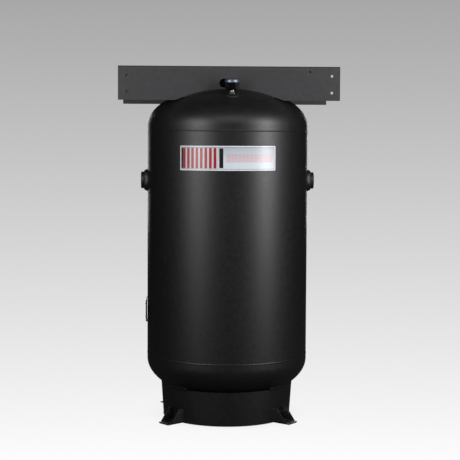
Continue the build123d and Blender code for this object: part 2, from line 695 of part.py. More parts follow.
def make_ball():
    """Ball with its bore across the pipe: shut."""
    return ball_at(BALL_R) - rod_x(PIPE_BORE_R, -BALL_R, BALL_R, COCK_BALL_Y, DRAIN_Z) - tang_block()


def make_stem():
    shaft = rod(STEM_R, DRAIN_Z + BALL_R, STEM_TOP_Z, 0, COCK_BALL_Y)
    return shaft + tang_block()


def make_gland():
    """Packing nut round the stem, on the boss."""
    nut = Pos(0, COCK_BALL_Y, BOSS_TOP_Z) * hex_bar(GLAND_FLATS, GLAND_TOP_Z - BOSS_TOP_Z)
    return nut - rod(STEM_BORE_R, BOSS_TOP_Z, GLAND_TOP_Z, 0, COCK_BALL_Y)


def lever_blank(length, width):
    """Strip with round ends, from the stem out along +X."""
    reach = length - width / 2
    high = LEVER_Z + LEVER_T
    y = COCK_BALL_Y
    strip = block((0, reach), (y - width / 2, y + width / 2), (LEVER_Z, high))
    return strip + rod(width / 2, LEVER_Z, high, 0, y) + rod(width / 2, LEVER_Z, high, reach, y)


def make_lever():
    return lever_blank(LEVER_LEN, LEVER_W) - rod(STEM_R, LEVER_Z, LEVER_Z + LEVER_T, 0, COCK_BALL_Y)


def make_grip():
    """Dipped sleeve over the lever's outer half."""
    y = COCK_BALL_Y
    half = LEVER_W / 2 + GRIP_WALL
    end_x = LEVER_LEN + GRIP_WALL - half
    low = LEVER_Z - GRIP_WALL
    high = LEVER_Z + LEVER_T + GRIP_WALL
    sleeve = block((GRIP_X, end_x), (y - half, y + half), (low, high)) + rod(half, low, high, end_x, y)
    return sleeve - lever_blank(LEVER_LEN, LEVER_W)


def make_lever_nut():
    low = LEVER_Z + LEVER_T
    nut = Pos(0, COCK_BALL_Y, low) * hex_bar(LEVER_NUT_FLATS, LEVER_NUT_H)
    return nut - rod(STEM_R, low, low + LEVER_NUT_H, 0, COCK_BALL_Y)


def all_nodes():
    """Every sub-part by name."""
    nodes = {
        "shell": make_shell(),
        "shell_long_weld": long_seam(),
        "top_head": make_top_head(),
        "bottom_head": make_bottom_head(),
        "top_seam_weld": ring_seam(TOP_SEAM_Z),
        "bottom_seam_weld": ring_seam(BOTTOM_SEAM_Z),
        "base_ring": make_base_ring(),
        "base_ring_welds": ring_stitches(),
        "platform": make_platform(),
        "platform_saddle": make_saddle(),
        "platform_welds": platform_beads(),
        "inlet_coupling": make_inlet_coupling(),
        "inlet_weld": make_inlet_weld(),
        "inlet_nipple": make_inlet_nipple(),
        "check_valve_body": make_valve_body(),
        "check_valve_cap": make_valve_cap(),
        "check_valve_poppet": make_poppet(),
        "check_valve_spring": make_valve_spring(),
        "nameplate_bracket": make_bracket(),
        "nameplate": make_nameplate(),
        "nameplate_rivets": make_rivets(),
        "front_label": make_label(),
        "drain_coupling": make_drain_coupling(),
        "drain_weld": make_drain_weld(),
        "drain_elbow": make_elbow(),
        "drain_pipe": make_drain_pipe(),
        "drain_cock_body": make_cock_body(),
        "drain_cock_tail": make_cock_tail(),
        "drain_cock_seats": make_cock_seats(),
        "drain_cock_ball": make_ball(),
        "drain_cock_stem": make_stem(),
        "drain_cock_gland": make_gland(),
        "drain_cock_lever": make_lever(),
        "drain_cock_grip": make_grip(),
        "drain_cock_nut": make_lever_nut(),
    }
    coupling = make_port_coupling()
    weld = make_port_weld()
    nodes["port_coupling_right"] = coupling
    nodes["port_weld_right"] = weld - coupling
    nodes["port_coupling_left"] = mirror(coupling, about=Plane.YZ)
    nodes["port_weld_left"] = mirror(weld - coupling, about=Plane.YZ)
    foot = foot_on_x()
    beads = foot_welds_on_x(foot)
    half_circle = 180.0
    places = {
        "front_right": -FOOT_TURN, "rear_right": FOOT_TURN,
        "rear_left": half_circle - FOOT_TURN, "front_left": FOOT_TURN - half_circle,
    }
    welds = []
    for place, turn in places.items():
        nodes["foot_" + place] = Rot(0, 0, turn) * foot
        welds += (Rot(0, 0, turn) * beads).solids()
    nodes["foot_welds"] = Compound(children=welds)
    return nodes


os.makedirs("parts", exist_ok=True)
for name, shape in all_nodes().items():
    export_step(shape, "parts/" + name + ".step")
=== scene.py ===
import json
import math

import bmesh
import bpy
import numpy as np
from mathutils import Matrix, Vector


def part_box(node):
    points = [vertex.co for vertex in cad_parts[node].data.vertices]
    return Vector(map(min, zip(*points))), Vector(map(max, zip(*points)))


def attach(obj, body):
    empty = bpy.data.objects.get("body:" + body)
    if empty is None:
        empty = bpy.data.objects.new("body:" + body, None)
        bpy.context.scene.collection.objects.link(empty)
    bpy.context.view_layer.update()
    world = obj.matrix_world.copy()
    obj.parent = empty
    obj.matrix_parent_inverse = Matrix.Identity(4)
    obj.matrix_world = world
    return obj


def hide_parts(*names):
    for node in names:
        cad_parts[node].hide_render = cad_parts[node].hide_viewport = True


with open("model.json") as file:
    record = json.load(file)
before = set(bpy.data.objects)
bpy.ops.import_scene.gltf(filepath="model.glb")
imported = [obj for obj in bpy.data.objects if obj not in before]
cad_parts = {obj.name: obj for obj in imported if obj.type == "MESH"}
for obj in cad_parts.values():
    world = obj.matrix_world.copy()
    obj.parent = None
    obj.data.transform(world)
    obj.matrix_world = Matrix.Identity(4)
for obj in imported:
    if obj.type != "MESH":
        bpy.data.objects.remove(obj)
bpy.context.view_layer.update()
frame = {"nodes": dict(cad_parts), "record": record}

MM = 0.001
TAU = 2 * math.pi
CAMERA = {"lens": 98.7, "shift": -0.05, "azimuth": -2.2, "distance": 4.827, "height": 1.081,
          "yaw": -2.325, "pitch": 3.38, "roll": 0.27}


# ---------------------------------------------------------------- the tank's own measures, from the frame
def mount(name):
    return next(m for m in frame["record"]["mounts"] if m["name"] == name)


shell_low, shell_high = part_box("shell")
TANK_R = shell_high.x
HEAD_DEPTH = TANK_R / 2
TOP_SEAM = shell_high.z
BOTTOM_SEAM = shell_low.z
TOP_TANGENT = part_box("top_head")[1].z - HEAD_DEPTH
BOTTOM_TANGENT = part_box("bottom_head")[0].z + HEAD_DEPTH
WALL = 4.8 * MM
RING_LOW_R = 242.0 * MM
RING_TOP_R, RING_TOP_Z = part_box("base_ring")[1].x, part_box("base_ring")[1].z
STITCH_STARTS = (-53.0, 13.0, 127.0, 193.0)
STITCH_ARC = 40.0
FOOT_TURNS = (-40, 40, 140, 220)
FOOT_HALF_W = 31.0 * MM
SEAM_BEAD_W = 5.6 * MM
SEAM_BEAD_PROUD = 0.75 * MM
PORT = mount("port_right")
PORT_Z = PORT["pos_m"][2]
PORT_END = PORT["pos_m"][0]
PORT_BORE = PORT["dims"]["r_mm"] * MM
PORT_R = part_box("port_coupling_right")[1].z - PORT_Z
INLET = mount("valve_inlet")["pos_m"]
INLET_LOW, INLET_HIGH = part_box("inlet_coupling")
INLET_R = (INLET_HIGH.x - INLET_LOW.x) / 2


def head_height(r):
    """Height of a head's outside above its tangent line at radius r: half a flattened ball."""
    return HEAD_DEPTH * np.sqrt(np.clip(1 - (np.asarray(r) / TANK_R) ** 2, 0, 1))


def head_top_z(x, y):
    return TOP_TANGENT + head_height(np.hypot(x, y))


# ---------------------------------------------------------------- meshes from grids of points
def surface(name, points, wrap_rows=False, wrap_cols=False, keep=None, sharp_deg=40):
    """Mesh of a grid of points [rows, columns, 3], one quad between four neighbours.
    A wrapped direction joins its last line to its first; keep is a mask of the quads that stay.
    Rows that go up and columns that go round by the right hand give faces that point outwards."""
    rows, cols = points.shape[:2]
    index = np.arange(rows * cols).reshape(rows, cols)
    if wrap_rows:
        index = np.vstack([index, index[:1]])
    if wrap_cols:
        index = np.hstack([index, index[:, :1]])
    quads = np.stack([index[:-1, :-1], index[:-1, 1:], index[1:, 1:], index[1:, :-1]], axis=-1)
    quads = quads[keep] if keep is not None else quads.reshape(-1, 4)
    mesh = bpy.data.meshes.new(name)
    mesh.from_pydata(points.reshape(-1, 3).tolist(), [], quads.tolist())
    bm = bmesh.new()
    bm.from_mesh(mesh)
    bmesh.ops.remove_doubles(bm, verts=bm.verts, dist=1e-7)
    loose = [v for v in bm.verts if not v.link_faces]
    bmesh.ops.delete(bm, geom=loose, context="VERTS")
    bm.to_mesh(mesh)
    bm.free()
    return smooth_object(name, mesh, sharp_deg)


def smooth_object(name, mesh, sharp_deg):
    mesh.polygons.foreach_set("use_smooth", np.ones(len(mesh.polygons), dtype=bool))
    mesh.set_sharp_from_angle(angle=math.radians(sharp_deg))
    piece = bpy.data.objects.new(name, mesh)
    bpy.context.scene.collection.objects.link(piece)
    return piece


def closed_outwards(piece):
    """Turns a closed piece's faces outwards."""
    bm = bmesh.new()
    bm.from_mesh(piece.data)
    bmesh.ops.recalc_face_normals(bm, faces=bm.faces)
    bm.to_mesh(piece.data)
    bm.free()
    return piece


def rings(profile, turns, radius_shift=None):
    """Points of a profile of (radius, height) pairs carried round Z.
    radius_shift, one value for each point, moves them outwards."""
    profile = np.asarray(profile, float)
    angle = np.arange(turns) * TAU / turns
    radius = np.repeat(profile[:, :1], turns, axis=1)
    if radius_shift is not None:
        radius = radius + radius_shift
    height = np.repeat(profile[:, 1:2], turns, axis=1)
    return np.stack([radius * np.cos(angle), radius * np.sin(angle), height], axis=-1)


def to_x(points, side=1):
    """Turns a shape made round Z so that its Z runs along +X, or along -X with side -1."""
    x, y, z = points[..., 0], points[..., 1], points[..., 2]
    return np.stack([side * z, y, x], axis=-1)


def rounded(profile, radius, steps=3):
    """Profile with its corners softened: each becomes a quadratic curve that starts radius before it."""
    profile = [np.asarray(p, float) for p in profile]
    out = [profile[0]]
    for before, corner, after in zip(profile[:-2], profile[1:-1], profile[2:]):
        a = before - corner
        b = after - corner
        reach = min(radius, 0.45 * np.linalg.norm(a), 0.45 * np.linalg.norm(b))
        a = corner + a / np.linalg.norm(a) * reach
        b = corner + b / np.linalg.norm(b) * reach
        for t in np.linspace(0, 1, steps + 1):
            out.append((1 - t) ** 2 * a + 2 * t * (1 - t) * corner + t ** 2 * b)
    out.append(profile[-1])
    return np.array(out)


def thread_wave(height, angle, pitch):
    """Triangle wave of a screw thread, 0 at the root to 1 at the crest, on a helix of that pitch."""
    phase = (height / pitch - angle / TAU) % 1.0
    return 1 - np.abs(2 * phase - 1)


def eased(node, width=0.5, cut_deg=28, segments=2):
    """Copy of a CAD solid with doubles merged, flat faces joined and its sharp edges rounded off."""
    bm = bmesh.new()
    bm.from_mesh(frame["nodes"][node].data)
    bmesh.ops.remove_doubles(bm, verts=bm.verts, dist=2e-6)
    bmesh.ops.dissolve_limit(bm, angle_limit=math.radians(0.4), verts=bm.verts, edges=bm.edges)
    mesh = bpy.data.meshes.new(node + "_finished")
    bm.to_mesh(mesh)
    bm.free()
    piece = smooth_object(node + "_finished", mesh, cut_deg)
    bevel = piece.modifiers.new("eased_edges", "BEVEL")
    bevel.width = width * MM
    bevel.segments = segments
    bevel.limit_method = "ANGLE"
    bevel.angle_limit = math.radians(cut_deg)
    bevel.harden_normals = True
    bevel.use_clamp_overlap = True
    return piece


def hang(piece, material, slot, *nodes, body="tank"):
    """Gives a piece its material and body, and hides the CAD nodes it stands for; slot is not used."""
    piece.data.materials.clear()
    piece.data.materials.append(material)
    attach(piece, body)
    if nodes:
        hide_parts(*nodes)
    return piece


# ---------------------------------------------------------------- shader groups
def new_group(name, inputs, outputs):
    """Empty shader group with named sockets; returns it with its input and output nodes."""
    tree = bpy.data.node_groups.new(name, "ShaderNodeTree")
    for label, value in inputs:
        kind = "NodeSocketVector" if value is None else "NodeSocketFloat"
        socket = tree.interface.new_socket(label, in_out="INPUT", socket_type=kind)
        if value is not None:
            socket.default_value = value
    for label, kind in outputs:
        tree.interface.new_socket(label, in_out="OUTPUT", socket_type=kind)
    return tree, tree.nodes.new("NodeGroupInput"), tree.nodes.new("NodeGroupOutput")


def noise(tree, vector, scale, detail=4.0, roughness=0.5):
    node = tree.nodes.new("ShaderNodeTexNoise")
    node.inputs["Scale"].default_value = scale
    node.inputs["Detail"].default_value = detail
    node.inputs["Roughness"].default_value = roughness
    tree.links.new(vector, node.inputs["Vector"])
    return node.outputs["Fac"]


def math_node(tree, operation, a, b=None, clamp=False):
    node = tree.nodes.new("ShaderNodeMath")
    node.operation = operation
    node.use_clamp = clamp
    for socket, value in zip(node.inputs, (a, b)):
        if value is None:
            continue
        if isinstance(value, (int, float)):
            socket.default_value = value
        else:
            tree.links.new(value, socket)
    return node.outputs[0]


def spread(tree, value, low, high, out_low=0.0, out_high=1.0):
    """Clamped linear map of a value."""
    node = tree.nodes.new("ShaderNodeMapRange")
    for label, number in (("From Min", low), ("From Max", high), ("To Min", out_low), ("To Max", out_high)):
        node.inputs[label].default_value = number
    tree.links.new(value, node.inputs["Value"])
    return node.outputs["Result"]


def orange_peel_group():
    """Sprayed enamel: fine peel, slow waviness of the plate, and dry overspray grain."""
    tree, given, made = new_group(
        "sprayed_enamel",
        [("Vector", None), ("Peel", 1.0), ("Wave", 1.0)],
        [("Height", "NodeSocketFloat"), ("Grain", "NodeSocketFloat")],
    )
    vector = given.outputs["Vector"]
    peel = math_node(tree, "MULTIPLY", noise(tree, vector, 420.0, 2.0), given.outputs["Peel"])
    wave = math_node(tree, "MULTIPLY", noise(tree, vector, 9.0, 1.0), given.outputs["Wave"])
    wide_wave = math_node(tree, "MULTIPLY", wave, 6.0)
    tree.links.new(math_node(tree, "ADD", peel, wide_wave), made.inputs["Height"])
    tree.links.new(noise(tree, vector, 60.0, 6.0, 0.65), made.inputs["Grain"])
    return tree


def dust_group():
    """Thin dust where a surface faces up, broken by noise, and a few long faint scuffs."""
    tree, given, made = new_group(
        "dust_and_scuffs",
        [("Vector", None), ("Dust", 0.5), ("Scuffs", 0.5)],
        [("Dust", "NodeSocketFloat"), ("Scuff", "NodeSocketFloat")],
    )
    vector = given.outputs["Vector"]
    geometry = tree.nodes.new("ShaderNodeNewGeometry")
    split = tree.nodes.new("ShaderNodeSeparateXYZ")
    tree.links.new(geometry.outputs["Normal"], split.inputs[0])
    up = spread(tree, split.outputs["Z"], 0.25, 1.0)
    broken = spread(tree, noise(tree, vector, 26.0, 6.0, 0.7), 0.35, 0.75)
    settled = math_node(tree, "MULTIPLY", up, broken)
    dust = math_node(tree, "MULTIPLY", settled, given.outputs["Dust"], clamp=True)
    tree.links.new(dust, made.inputs["Dust"])
    stretch = tree.nodes.new("ShaderNodeMapping")
    stretch.inputs["Scale"].default_value = (3.0, 3.0, 0.35)
    stretch.inputs["Rotation"].default_value = (0.35, 0.2, 0.1)
    tree.links.new(vector, stretch.inputs["Vector"])
    streak = spread(tree, noise(tree, stretch.outputs[0], 30.0, 3.0, 0.6), 0.70, 0.76)
    patch = spread(tree, noise(tree, vector, 3.2, 2.0), 0.52, 0.66)
    rubbed = math_node(tree, "MULTIPLY", streak, patch)
    scuff = math_node(tree, "MULTIPLY", rubbed, given.outputs["Scuffs"], clamp=True)
    tree.links.new(scuff, made.inputs["Scuff"])
    return tree


def worn_edge_group():
    """Edge mask from how strongly the surface bends outwards, broken up by noise."""
    tree, given, made = new_group(
        "worn_edges", [("Vector", None), ("Amount", 0.5)], [("Edge", "NodeSocketFloat")]
    )
    geometry = tree.nodes.new("ShaderNodeNewGeometry")
    sharp = spread(tree, geometry.outputs["Pointiness"], 0.53, 0.62)
    chipped = spread(tree, noise(tree, given.outputs["Vector"], 110.0, 5.0, 0.7), 0.42, 0.62)
    worn = math_node(tree, "MULTIPLY", sharp, chipped)
    edge = math_node(tree, "MULTIPLY", worn, given.outputs["Amount"], clamp=True)
    tree.links.new(edge, made.inputs["Edge"])
    return tree


def brushed_group():
    """Fine lines along one direction, for turned, drawn and brushed metal."""
    tree, given, made = new_group(
        "fine_lines",
        [("Vector", None), ("Scale", 400.0)],
        [("Lines", "NodeSocketFloat"), ("Cloud", "NodeSocketFloat")],
    )
    fine = tree.nodes.new("ShaderNodeTexNoise")
    fine.inputs["Detail"].default_value = 3.0
    tree.links.new(given.outputs["Vector"], fine.inputs["Vector"])
    tree.links.new(given.outputs["Scale"], fine.inputs["Scale"])
    tree.links.new(fine.outputs["Fac"], made.inputs["Lines"])
    tree.links.new(noise(tree, given.outputs["Vector"], 45.0, 5.0, 0.6), made.inputs["Cloud"])
    return tree


GROUPS = {
    "enamel": orange_peel_group(),
    "dust": dust_group(),
    "edges": worn_edge_group(),
    "lines": brushed_group(),
}


# ---------------------------------------------------------------- materials
class Finish:
    """One material being wired: its tree, its shader and the object coordinates."""

    def __init__(self, name, color, roughness, metallic=0.0, specular=0.5, coat=0.0, coat_roughness=0.1):
        self.material = bpy.data.materials.new(name)
        self.material.use_nodes = True
        self.tree = self.material.node_tree
        self.shader = self.tree.nodes["Principled BSDF"]
        self.shader.inputs["Base Color"].default_value = (*color, 1)
        self.shader.inputs["Roughness"].default_value = roughness
        self.shader.inputs["Metallic"].default_value = metallic
        self.shader.inputs["Specular IOR Level"].default_value = specular
        self.shader.inputs["Coat Weight"].default_value = coat
        self.shader.inputs["Coat Roughness"].default_value = coat_roughness
        coordinates = self.tree.nodes.new("ShaderNodeTexCoord")
        self.where = coordinates.outputs["Object"]
        self.uv = coordinates.outputs["UV"]

    def group(self, name, **values):
        node = self.tree.nodes.new("ShaderNodeGroup")
        node.node_tree = GROUPS[name]
        self.tree.links.new(self.where, node.inputs["Vector"])
        for label, value in values.items():
            node.inputs[label].default_value = value
        return node.outputs

    def blend_color(self, factor, base, over):
        node = self.tree.nodes.new("ShaderNodeMix")
        node.data_type = "RGBA"
        self.tree.links.new(factor, node.inputs["Factor"])
        for socket, value in ((node.inputs[6], base), (node.inputs[7], over)):
            if isinstance(value, tuple):
                socket.default_value = (*value, 1)
            else:
                self.tree.links.new(value, socket)
        return node.outputs[2]

    def set_color(self, output):
        self.tree.links.new(output, self.shader.inputs["Base Color"])

    def set_roughness(self, output):
        self.tree.links.new(output, self.shader.inputs["Roughness"])

    def relief(self, height, strength, distance_mm=0.1):
        bump = self.tree.nodes.new("ShaderNodeBump")
        bump.inputs["Strength"].default_value = strength
        bump.inputs["Distance"].default_value = distance_mm * MM
        self.tree.links.new(height, bump.inputs["Height"])
        self.tree.links.new(bump.outputs["Normal"], self.shader.inputs["Normal"])


def enamel(name, color, roughness, dust=0.25, scuffs=0.4, wear=0.5, wear_color=(0.14, 0.135, 0.13), peel=1.0,
           specular=0.5):
    """Sprayed enamel on steel plate: peel, grain, dust on top, faint scuffs and rubbed edges."""
    finish = Finish(name, color, roughness, specular=specular)
    tree = finish.tree
    skin = finish.group("enamel", Peel=peel, Wave=1.0)
    marks = finish.group("dust", Dust=dust, Scuffs=scuffs)
    edge = finish.group("edges", Amount=wear)["Edge"]
    lighter = tuple(1.10 * c for c in color)
    darker = tuple(0.91 * c for c in color)
    mottled = finish.blend_color(spread(tree, skin["Grain"], 0.35, 0.65), darker, lighter)
    dusty = finish.blend_color(marks["Dust"], mottled, (0.07, 0.068, 0.064))
    scuffed = finish.blend_color(math_node(tree, "MULTIPLY", marks["Scuff"], 0.5), dusty, (0.06, 0.06, 0.06))
    finish.set_color(finish.blend_color(edge, scuffed, wear_color))
    base = spread(tree, skin["Grain"], 0.3, 0.7, roughness - 0.035, roughness + 0.035)
    rough = math_node(tree, "ADD", base, math_node(tree, "MULTIPLY", marks["Dust"], 0.3), clamp=True)
    finish.set_roughness(rough)
    finish.relief(skin["Height"], 0.25, 0.12)
    return finish.material


def metal(name, color, roughness, lines=300.0, tint=(0.8, 0.8, 0.8), spots=0.0, spot_color=(0.2, 0.18, 0.15)):
    """Bare or plated metal: fine lines in the relief, cloudy roughness and faint spots."""
    finish = Finish(name, color, roughness, metallic=1.0)
    tree = finish.tree
    grain = finish.group("lines", Scale=lines)
    shaded = finish.blend_color(
        spread(tree, grain["Cloud"], 0.35, 0.7), color, tuple(c * t for c, t in zip(color, tint))
    )
    mask = math_node(tree, "MULTIPLY", spread(tree, grain["Cloud"], 0.58, 0.66), spots)
    finish.set_color(finish.blend_color(mask, shaded, spot_color))
    finish.set_roughness(spread(tree, grain["Cloud"], 0.3, 0.7, roughness - 0.06, roughness + 0.08))
    finish.relief(grain["Lines"], 0.12, 0.05)
    return finish.material


def plastic(name, color, roughness, darker=0.8):
    finish = Finish(name, color, roughness)
    grain = finish.group("lines", Scale=700.0)
    shade = spread(finish.tree, grain["Cloud"], 0.35, 0.7)
    finish.set_color(finish.blend_color(shade, color, tuple(c * darker for c in color)))
    finish.relief(grain["Lines"], 0.15, 0.05)
    return finish.material


tank_black = enamel("tank_black_enamel", (0.0048, 0.0048, 0.0051), 0.45, dust=0.10, specular=0.56)
plate_black = enamel("plate_black_enamel", (0.0048, 0.0048, 0.0051), 0.45, dust=0.10, wear=0.0, specular=0.56)
weld_black = enamel("weld_black_enamel", (0.0048, 0.0048, 0.0051), 0.46, dust=0.10, wear=0.06, specular=0.5)
platform_grey = enamel("platform_grey_enamel", (0.032, 0.032, 0.0345), 0.50, dust=0.35, wear=0.35,
                       wear_color=(0.08, 0.08, 0.08))
bright_chrome = metal("bright_chrome", (0.78, 0.82, 0.88), 0.10)
black_chrome = metal("black_chrome", (0.030, 0.032, 0.036), 0.28)
collar_chrome = metal("collar_chrome", (0.20, 0.24, 0.30), 0.48)
nipple_zinc = metal("nipple_zinc", (0.34, 0.33, 0.31), 0.34)
bright_zinc = metal("bright_zinc", (0.86, 0.85, 0.82), 0.22, spots=0.2)
dull_galvanised = metal("dull_galvanised", (0.50, 0.51, 0.52), 0.45, spots=0.6, spot_color=(0.34, 0.35, 0.36))
yellow_brass = metal("yellow_brass", (0.70, 0.50, 0.22), 0.28, spots=0.5, spot_color=(0.30, 0.20, 0.09))
plate_aluminium = metal("plate_aluminium", (0.62, 0.62, 0.60), 0.34)
drawn_wire = metal("drawn_wire", (0.45, 0.45, 0.45), 0.30)
grip_red = plastic("grip_red_vinyl", (0.42, 0.018, 0.014), 0.32)
seat_white = plastic("seat_white", (0.72, 0.72, 0.70), 0.5)


def label_material():
    """Printed film: silver border, barred red and silver panel, black divider and a pale panel with a
    pink tick band. Its UV runs 0 to 1 along the label and up it."""
    finish = Finish("label_film", (0.6, 0.65, 0.7), 0.30, specular=0.5)
    tree = finish.tree
    split = tree.nodes.new("ShaderNodeSeparateXYZ")
    tree.links.new(finish.uv, split.inputs[0])
    u, v = split.outputs["X"], split.outputs["Y"]

    def between(value, low, high, soft=0.0015):
        rise = spread(tree, value, low - soft, low + soft)
        fall = spread(tree, value, high - soft, high + soft, 1.0, 0.0)
        return math_node(tree, "MULTIPLY", rise, fall)

    def both(a, b):
        return math_node(tree, "MULTIPLY", a, b)

    def stripes(value, count, share):
        wave = math_node(tree, "FRACT", math_node(tree, "MULTIPLY", value, count))
        return math_node(tree, "LESS_THAN", wave, share)

    silver = (0.66, 0.70, 0.76)
    fleck = spread(tree, noise(tree, finish.where, 900.0, 2.0), 0.3, 0.7)
    pale = finish.blend_color(fleck, (0.60, 0.65, 0.71), silver)
    pale = finish.blend_color(spread(tree, v, 0.35, 1.0), pale, (0.40, 0.43, 0.47))
    band = both(between(v, 0.33, 0.67, 0.006), between(u, 0.485, 0.965))
    ticks = both(band, stripes(u, 74.0, 0.55))
    panel = finish.blend_color(math_node(tree, "MULTIPLY", ticks, 0.75), pale, (0.60, 0.30, 0.31))
    barred_area = both(between(u, 0.035, 0.405), between(v, 0.085, 0.915, 0.004))
    bars = math_node(tree, "MULTIPLY", barred_area, stripes(math_node(tree, "SUBTRACT", u, 0.035), 21.6, 0.6))
    barred = finish.blend_color(barred_area, panel, (0.58, 0.60, 0.64))
    barred = finish.blend_color(bars, barred, (0.36, 0.010, 0.018))
    margin = both(between(u, 0.016, 0.035), between(v, 0.085, 0.915, 0.004))
    divider = both(between(u, 0.415, 0.455), between(v, 0.10, 0.90, 0.004))
    dark = math_node(tree, "MAXIMUM", margin, divider)
    printed = finish.blend_color(dark, barred, (0.012, 0.011, 0.012))
    inner = both(between(u, 0.0125, 0.9875), between(v, 0.05, 0.95))
    core = both(between(u, 0.0165, 0.9835), between(v, 0.066, 0.934))
    keyline = math_node(tree, "SUBTRACT", inner, core, clamp=True)
    lined = finish.blend_color(keyline, printed, (0.06, 0.06, 0.07))
    border = math_node(tree, "SUBTRACT", 1.0, inner, clamp=True)
    finish.set_color(finish.blend_color(border, lined, (0.72, 0.74, 0.78)))
    finish.set_roughness(spread(tree, fleck, 0.0, 1.0, 0.27, 0.33))
    finish.relief(fleck, 0.08, 0.05)
    return finish.material


def nameplate_material():
    """Etched blank plate: dark border and rows of empty entry boxes, no characters. UV runs across and up."""
    finish = Finish("nameplate_metal", (0.62, 0.62, 0.60), 0.34, metallic=1.0)
    tree = finish.tree
    split = tree.nodes.new("ShaderNodeSeparateXYZ")
    tree.links.new(finish.uv, split.inputs[0])
    u, v = split.outputs["X"], split.outputs["Y"]

    def near(value, target, half):
        gap = math_node(tree, "ABSOLUTE", math_node(tree, "SUBTRACT", value, target))
        return math_node(tree, "LESS_THAN", gap, half)

    edge_u = math_node(tree, "ABSOLUTE", math_node(tree, "SUBTRACT", u, 0.5))
    edge_v = math_node(tree, "ABSOLUTE", math_node(tree, "SUBTRACT", v, 0.5))
    frame_line = math_node(tree, "MAXIMUM", near(edge_u, 0.46, 0.006), near(edge_v, 0.44, 0.01))
    rows = near(math_node(tree, "FRACT", math_node(tree, "MULTIPLY", v, 5.0)), 0.5, 0.05)
    column = near(u, 0.38, 0.004)
    inside = math_node(tree, "MULTIPLY", math_node(tree, "LESS_THAN", edge_u, 0.40),
                       math_node(tree, "LESS_THAN", edge_v, 0.38))
    ruled = math_node(tree, "MULTIPLY", math_node(tree, "MAXIMUM", rows, column), inside)
    band = math_node(tree, "MULTIPLY", near(v, 0.80, 0.07), math_node(tree, "LESS_THAN", edge_u, 0.40))
    ink = math_node(tree, "MAXIMUM", math_node(tree, "MAXIMUM", frame_line, ruled), band)
    grain = finish.group("lines", Scale=500.0)
    base = finish.blend_color(spread(tree, grain["Cloud"], 0.35, 0.7), (0.62, 0.62, 0.60), (0.48, 0.48, 0.46))
    finish.set_color(finish.blend_color(ink, base, (0.03, 0.03, 0.03)))
    finish.set_roughness(spread(tree, grain["Cloud"], 0.3, 0.7, 0.42, 0.54))
    finish.relief(grain["Lines"], 0.2, 0.05)
    return finish.material


# ---------------------------------------------------------------- shell and heads
def port_mask(angle, height, radius):
    """Which cells of the shell lie under a side coupling."""
    from_side = np.minimum(np.abs(angle), TAU - np.abs(angle))
    from_other = np.abs(angle - math.pi)
    arc = np.minimum(from_side, from_other) * TANK_R
    return np.hypot(arc, height - PORT_Z) < radius


def make_shell():
    """Rolled cylinder: a grid round Z with finer rows at the ports, cells missing under the couplings,
    given its plate thickness inwards."""
    turns = 360
    coarse = np.linspace(BOTTOM_SEAM, TOP_SEAM, 34)
    fine = np.arange(PORT_Z - 45 * MM, PORT_Z + 45 * MM, 5 * MM)
    heights = np.unique(np.concatenate([coarse[np.abs(coarse - PORT_Z) > 46 * MM], fine]))
    points = rings(np.column_stack([np.full(len(heights), TANK_R), heights]), turns)
    mid_height = (heights[:-1] + heights[1:])[:, None] / 2
    mid_angle = (np.arange(turns) + 0.5)[None, :] * TAU / turns
    keep = ~port_mask(mid_angle + 0 * mid_height, mid_height + 0 * mid_angle, PORT_R + 2.5 * MM)
    piece = surface("shell_plate", points, wrap_cols=True, keep=keep)
    thicken(piece)
    return hang(piece, plate_black, "tank_paint", "shell")


def thicken(piece, wall=WALL):
    """Gives a sheet its plate thickness inwards, with crisp rims."""
    bm = bmesh.new()
    bm.from_mesh(piece.data)
    for edge in bm.edges:
        if edge.is_boundary:
            edge.smooth = False
    bm.to_mesh(piece.data)
    bm.free()
    plate = piece.modifiers.new("plate_thickness", "SOLIDIFY")
    plate.thickness = wall
    plate.offset = -1.0
    plate.use_even_offset = True


def head_profile(inner_r):
    """Outside of a head from its seam over the straight flange and along the half oval to inner_r."""
    straight = [(TANK_R, 0.0), (TANK_R, TOP_TANGENT - TOP_SEAM)]
    sweep = np.linspace(0, math.acos(inner_r / TANK_R), 72)[1:]
    oval = np.column_stack([TANK_R * np.cos(sweep), TOP_TANGENT - TOP_SEAM + HEAD_DEPTH * np.sin(sweep)])
    return np.vstack([straight, oval])


def make_top_head():
    """Top head: the profile round Z, with the cells under the inlet weld left out."""
    turns = 360
    points = rings(head_profile(1e-9), turns)
    points[..., 2] += TOP_SEAM
    middle = (points[:-1] + points[1:]) / 2
    middle = (middle + np.roll(middle, -1, axis=1)) / 2
    keep = np.hypot(middle[..., 0] - INLET[0], middle[..., 1] - INLET[1]) > INLET_R + 2.5 * MM
    piece = surface("top_head_dome", points, wrap_cols=True, keep=keep)
    thicken(piece)
    return hang(piece, plate_black, "tank_paint", "top_head")


def make_bottom_head():
    """Bottom head: the same profile hung upside down, open at the drain coupling."""
    low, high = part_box("drain_coupling")
    points = rings(head_profile((high.x - low.x) / 2), 360)
    points[..., 2] = BOTTOM_SEAM - points[..., 2]
    piece = surface("bottom_head_dome", points[::-1], wrap_cols=True)
    thicken(piece)
    return hang(piece, plate_black, "tank_paint", "bottom_head")


# ---------------------------------------------------------------- weld beads
def bead_height(share, along, proud, ripple, pitch):
    """Rise of a weld bead: a half sine across it, with rounded ripples that lean back at its edges."""
    lean = 0.35 * pitch * (1 - (2 * share - 1) ** 2)
    wave = np.abs(np.sin(math.pi * (along + lean) / pitch))
    return np.sin(math.pi * share) * (proud + ripple * wave)


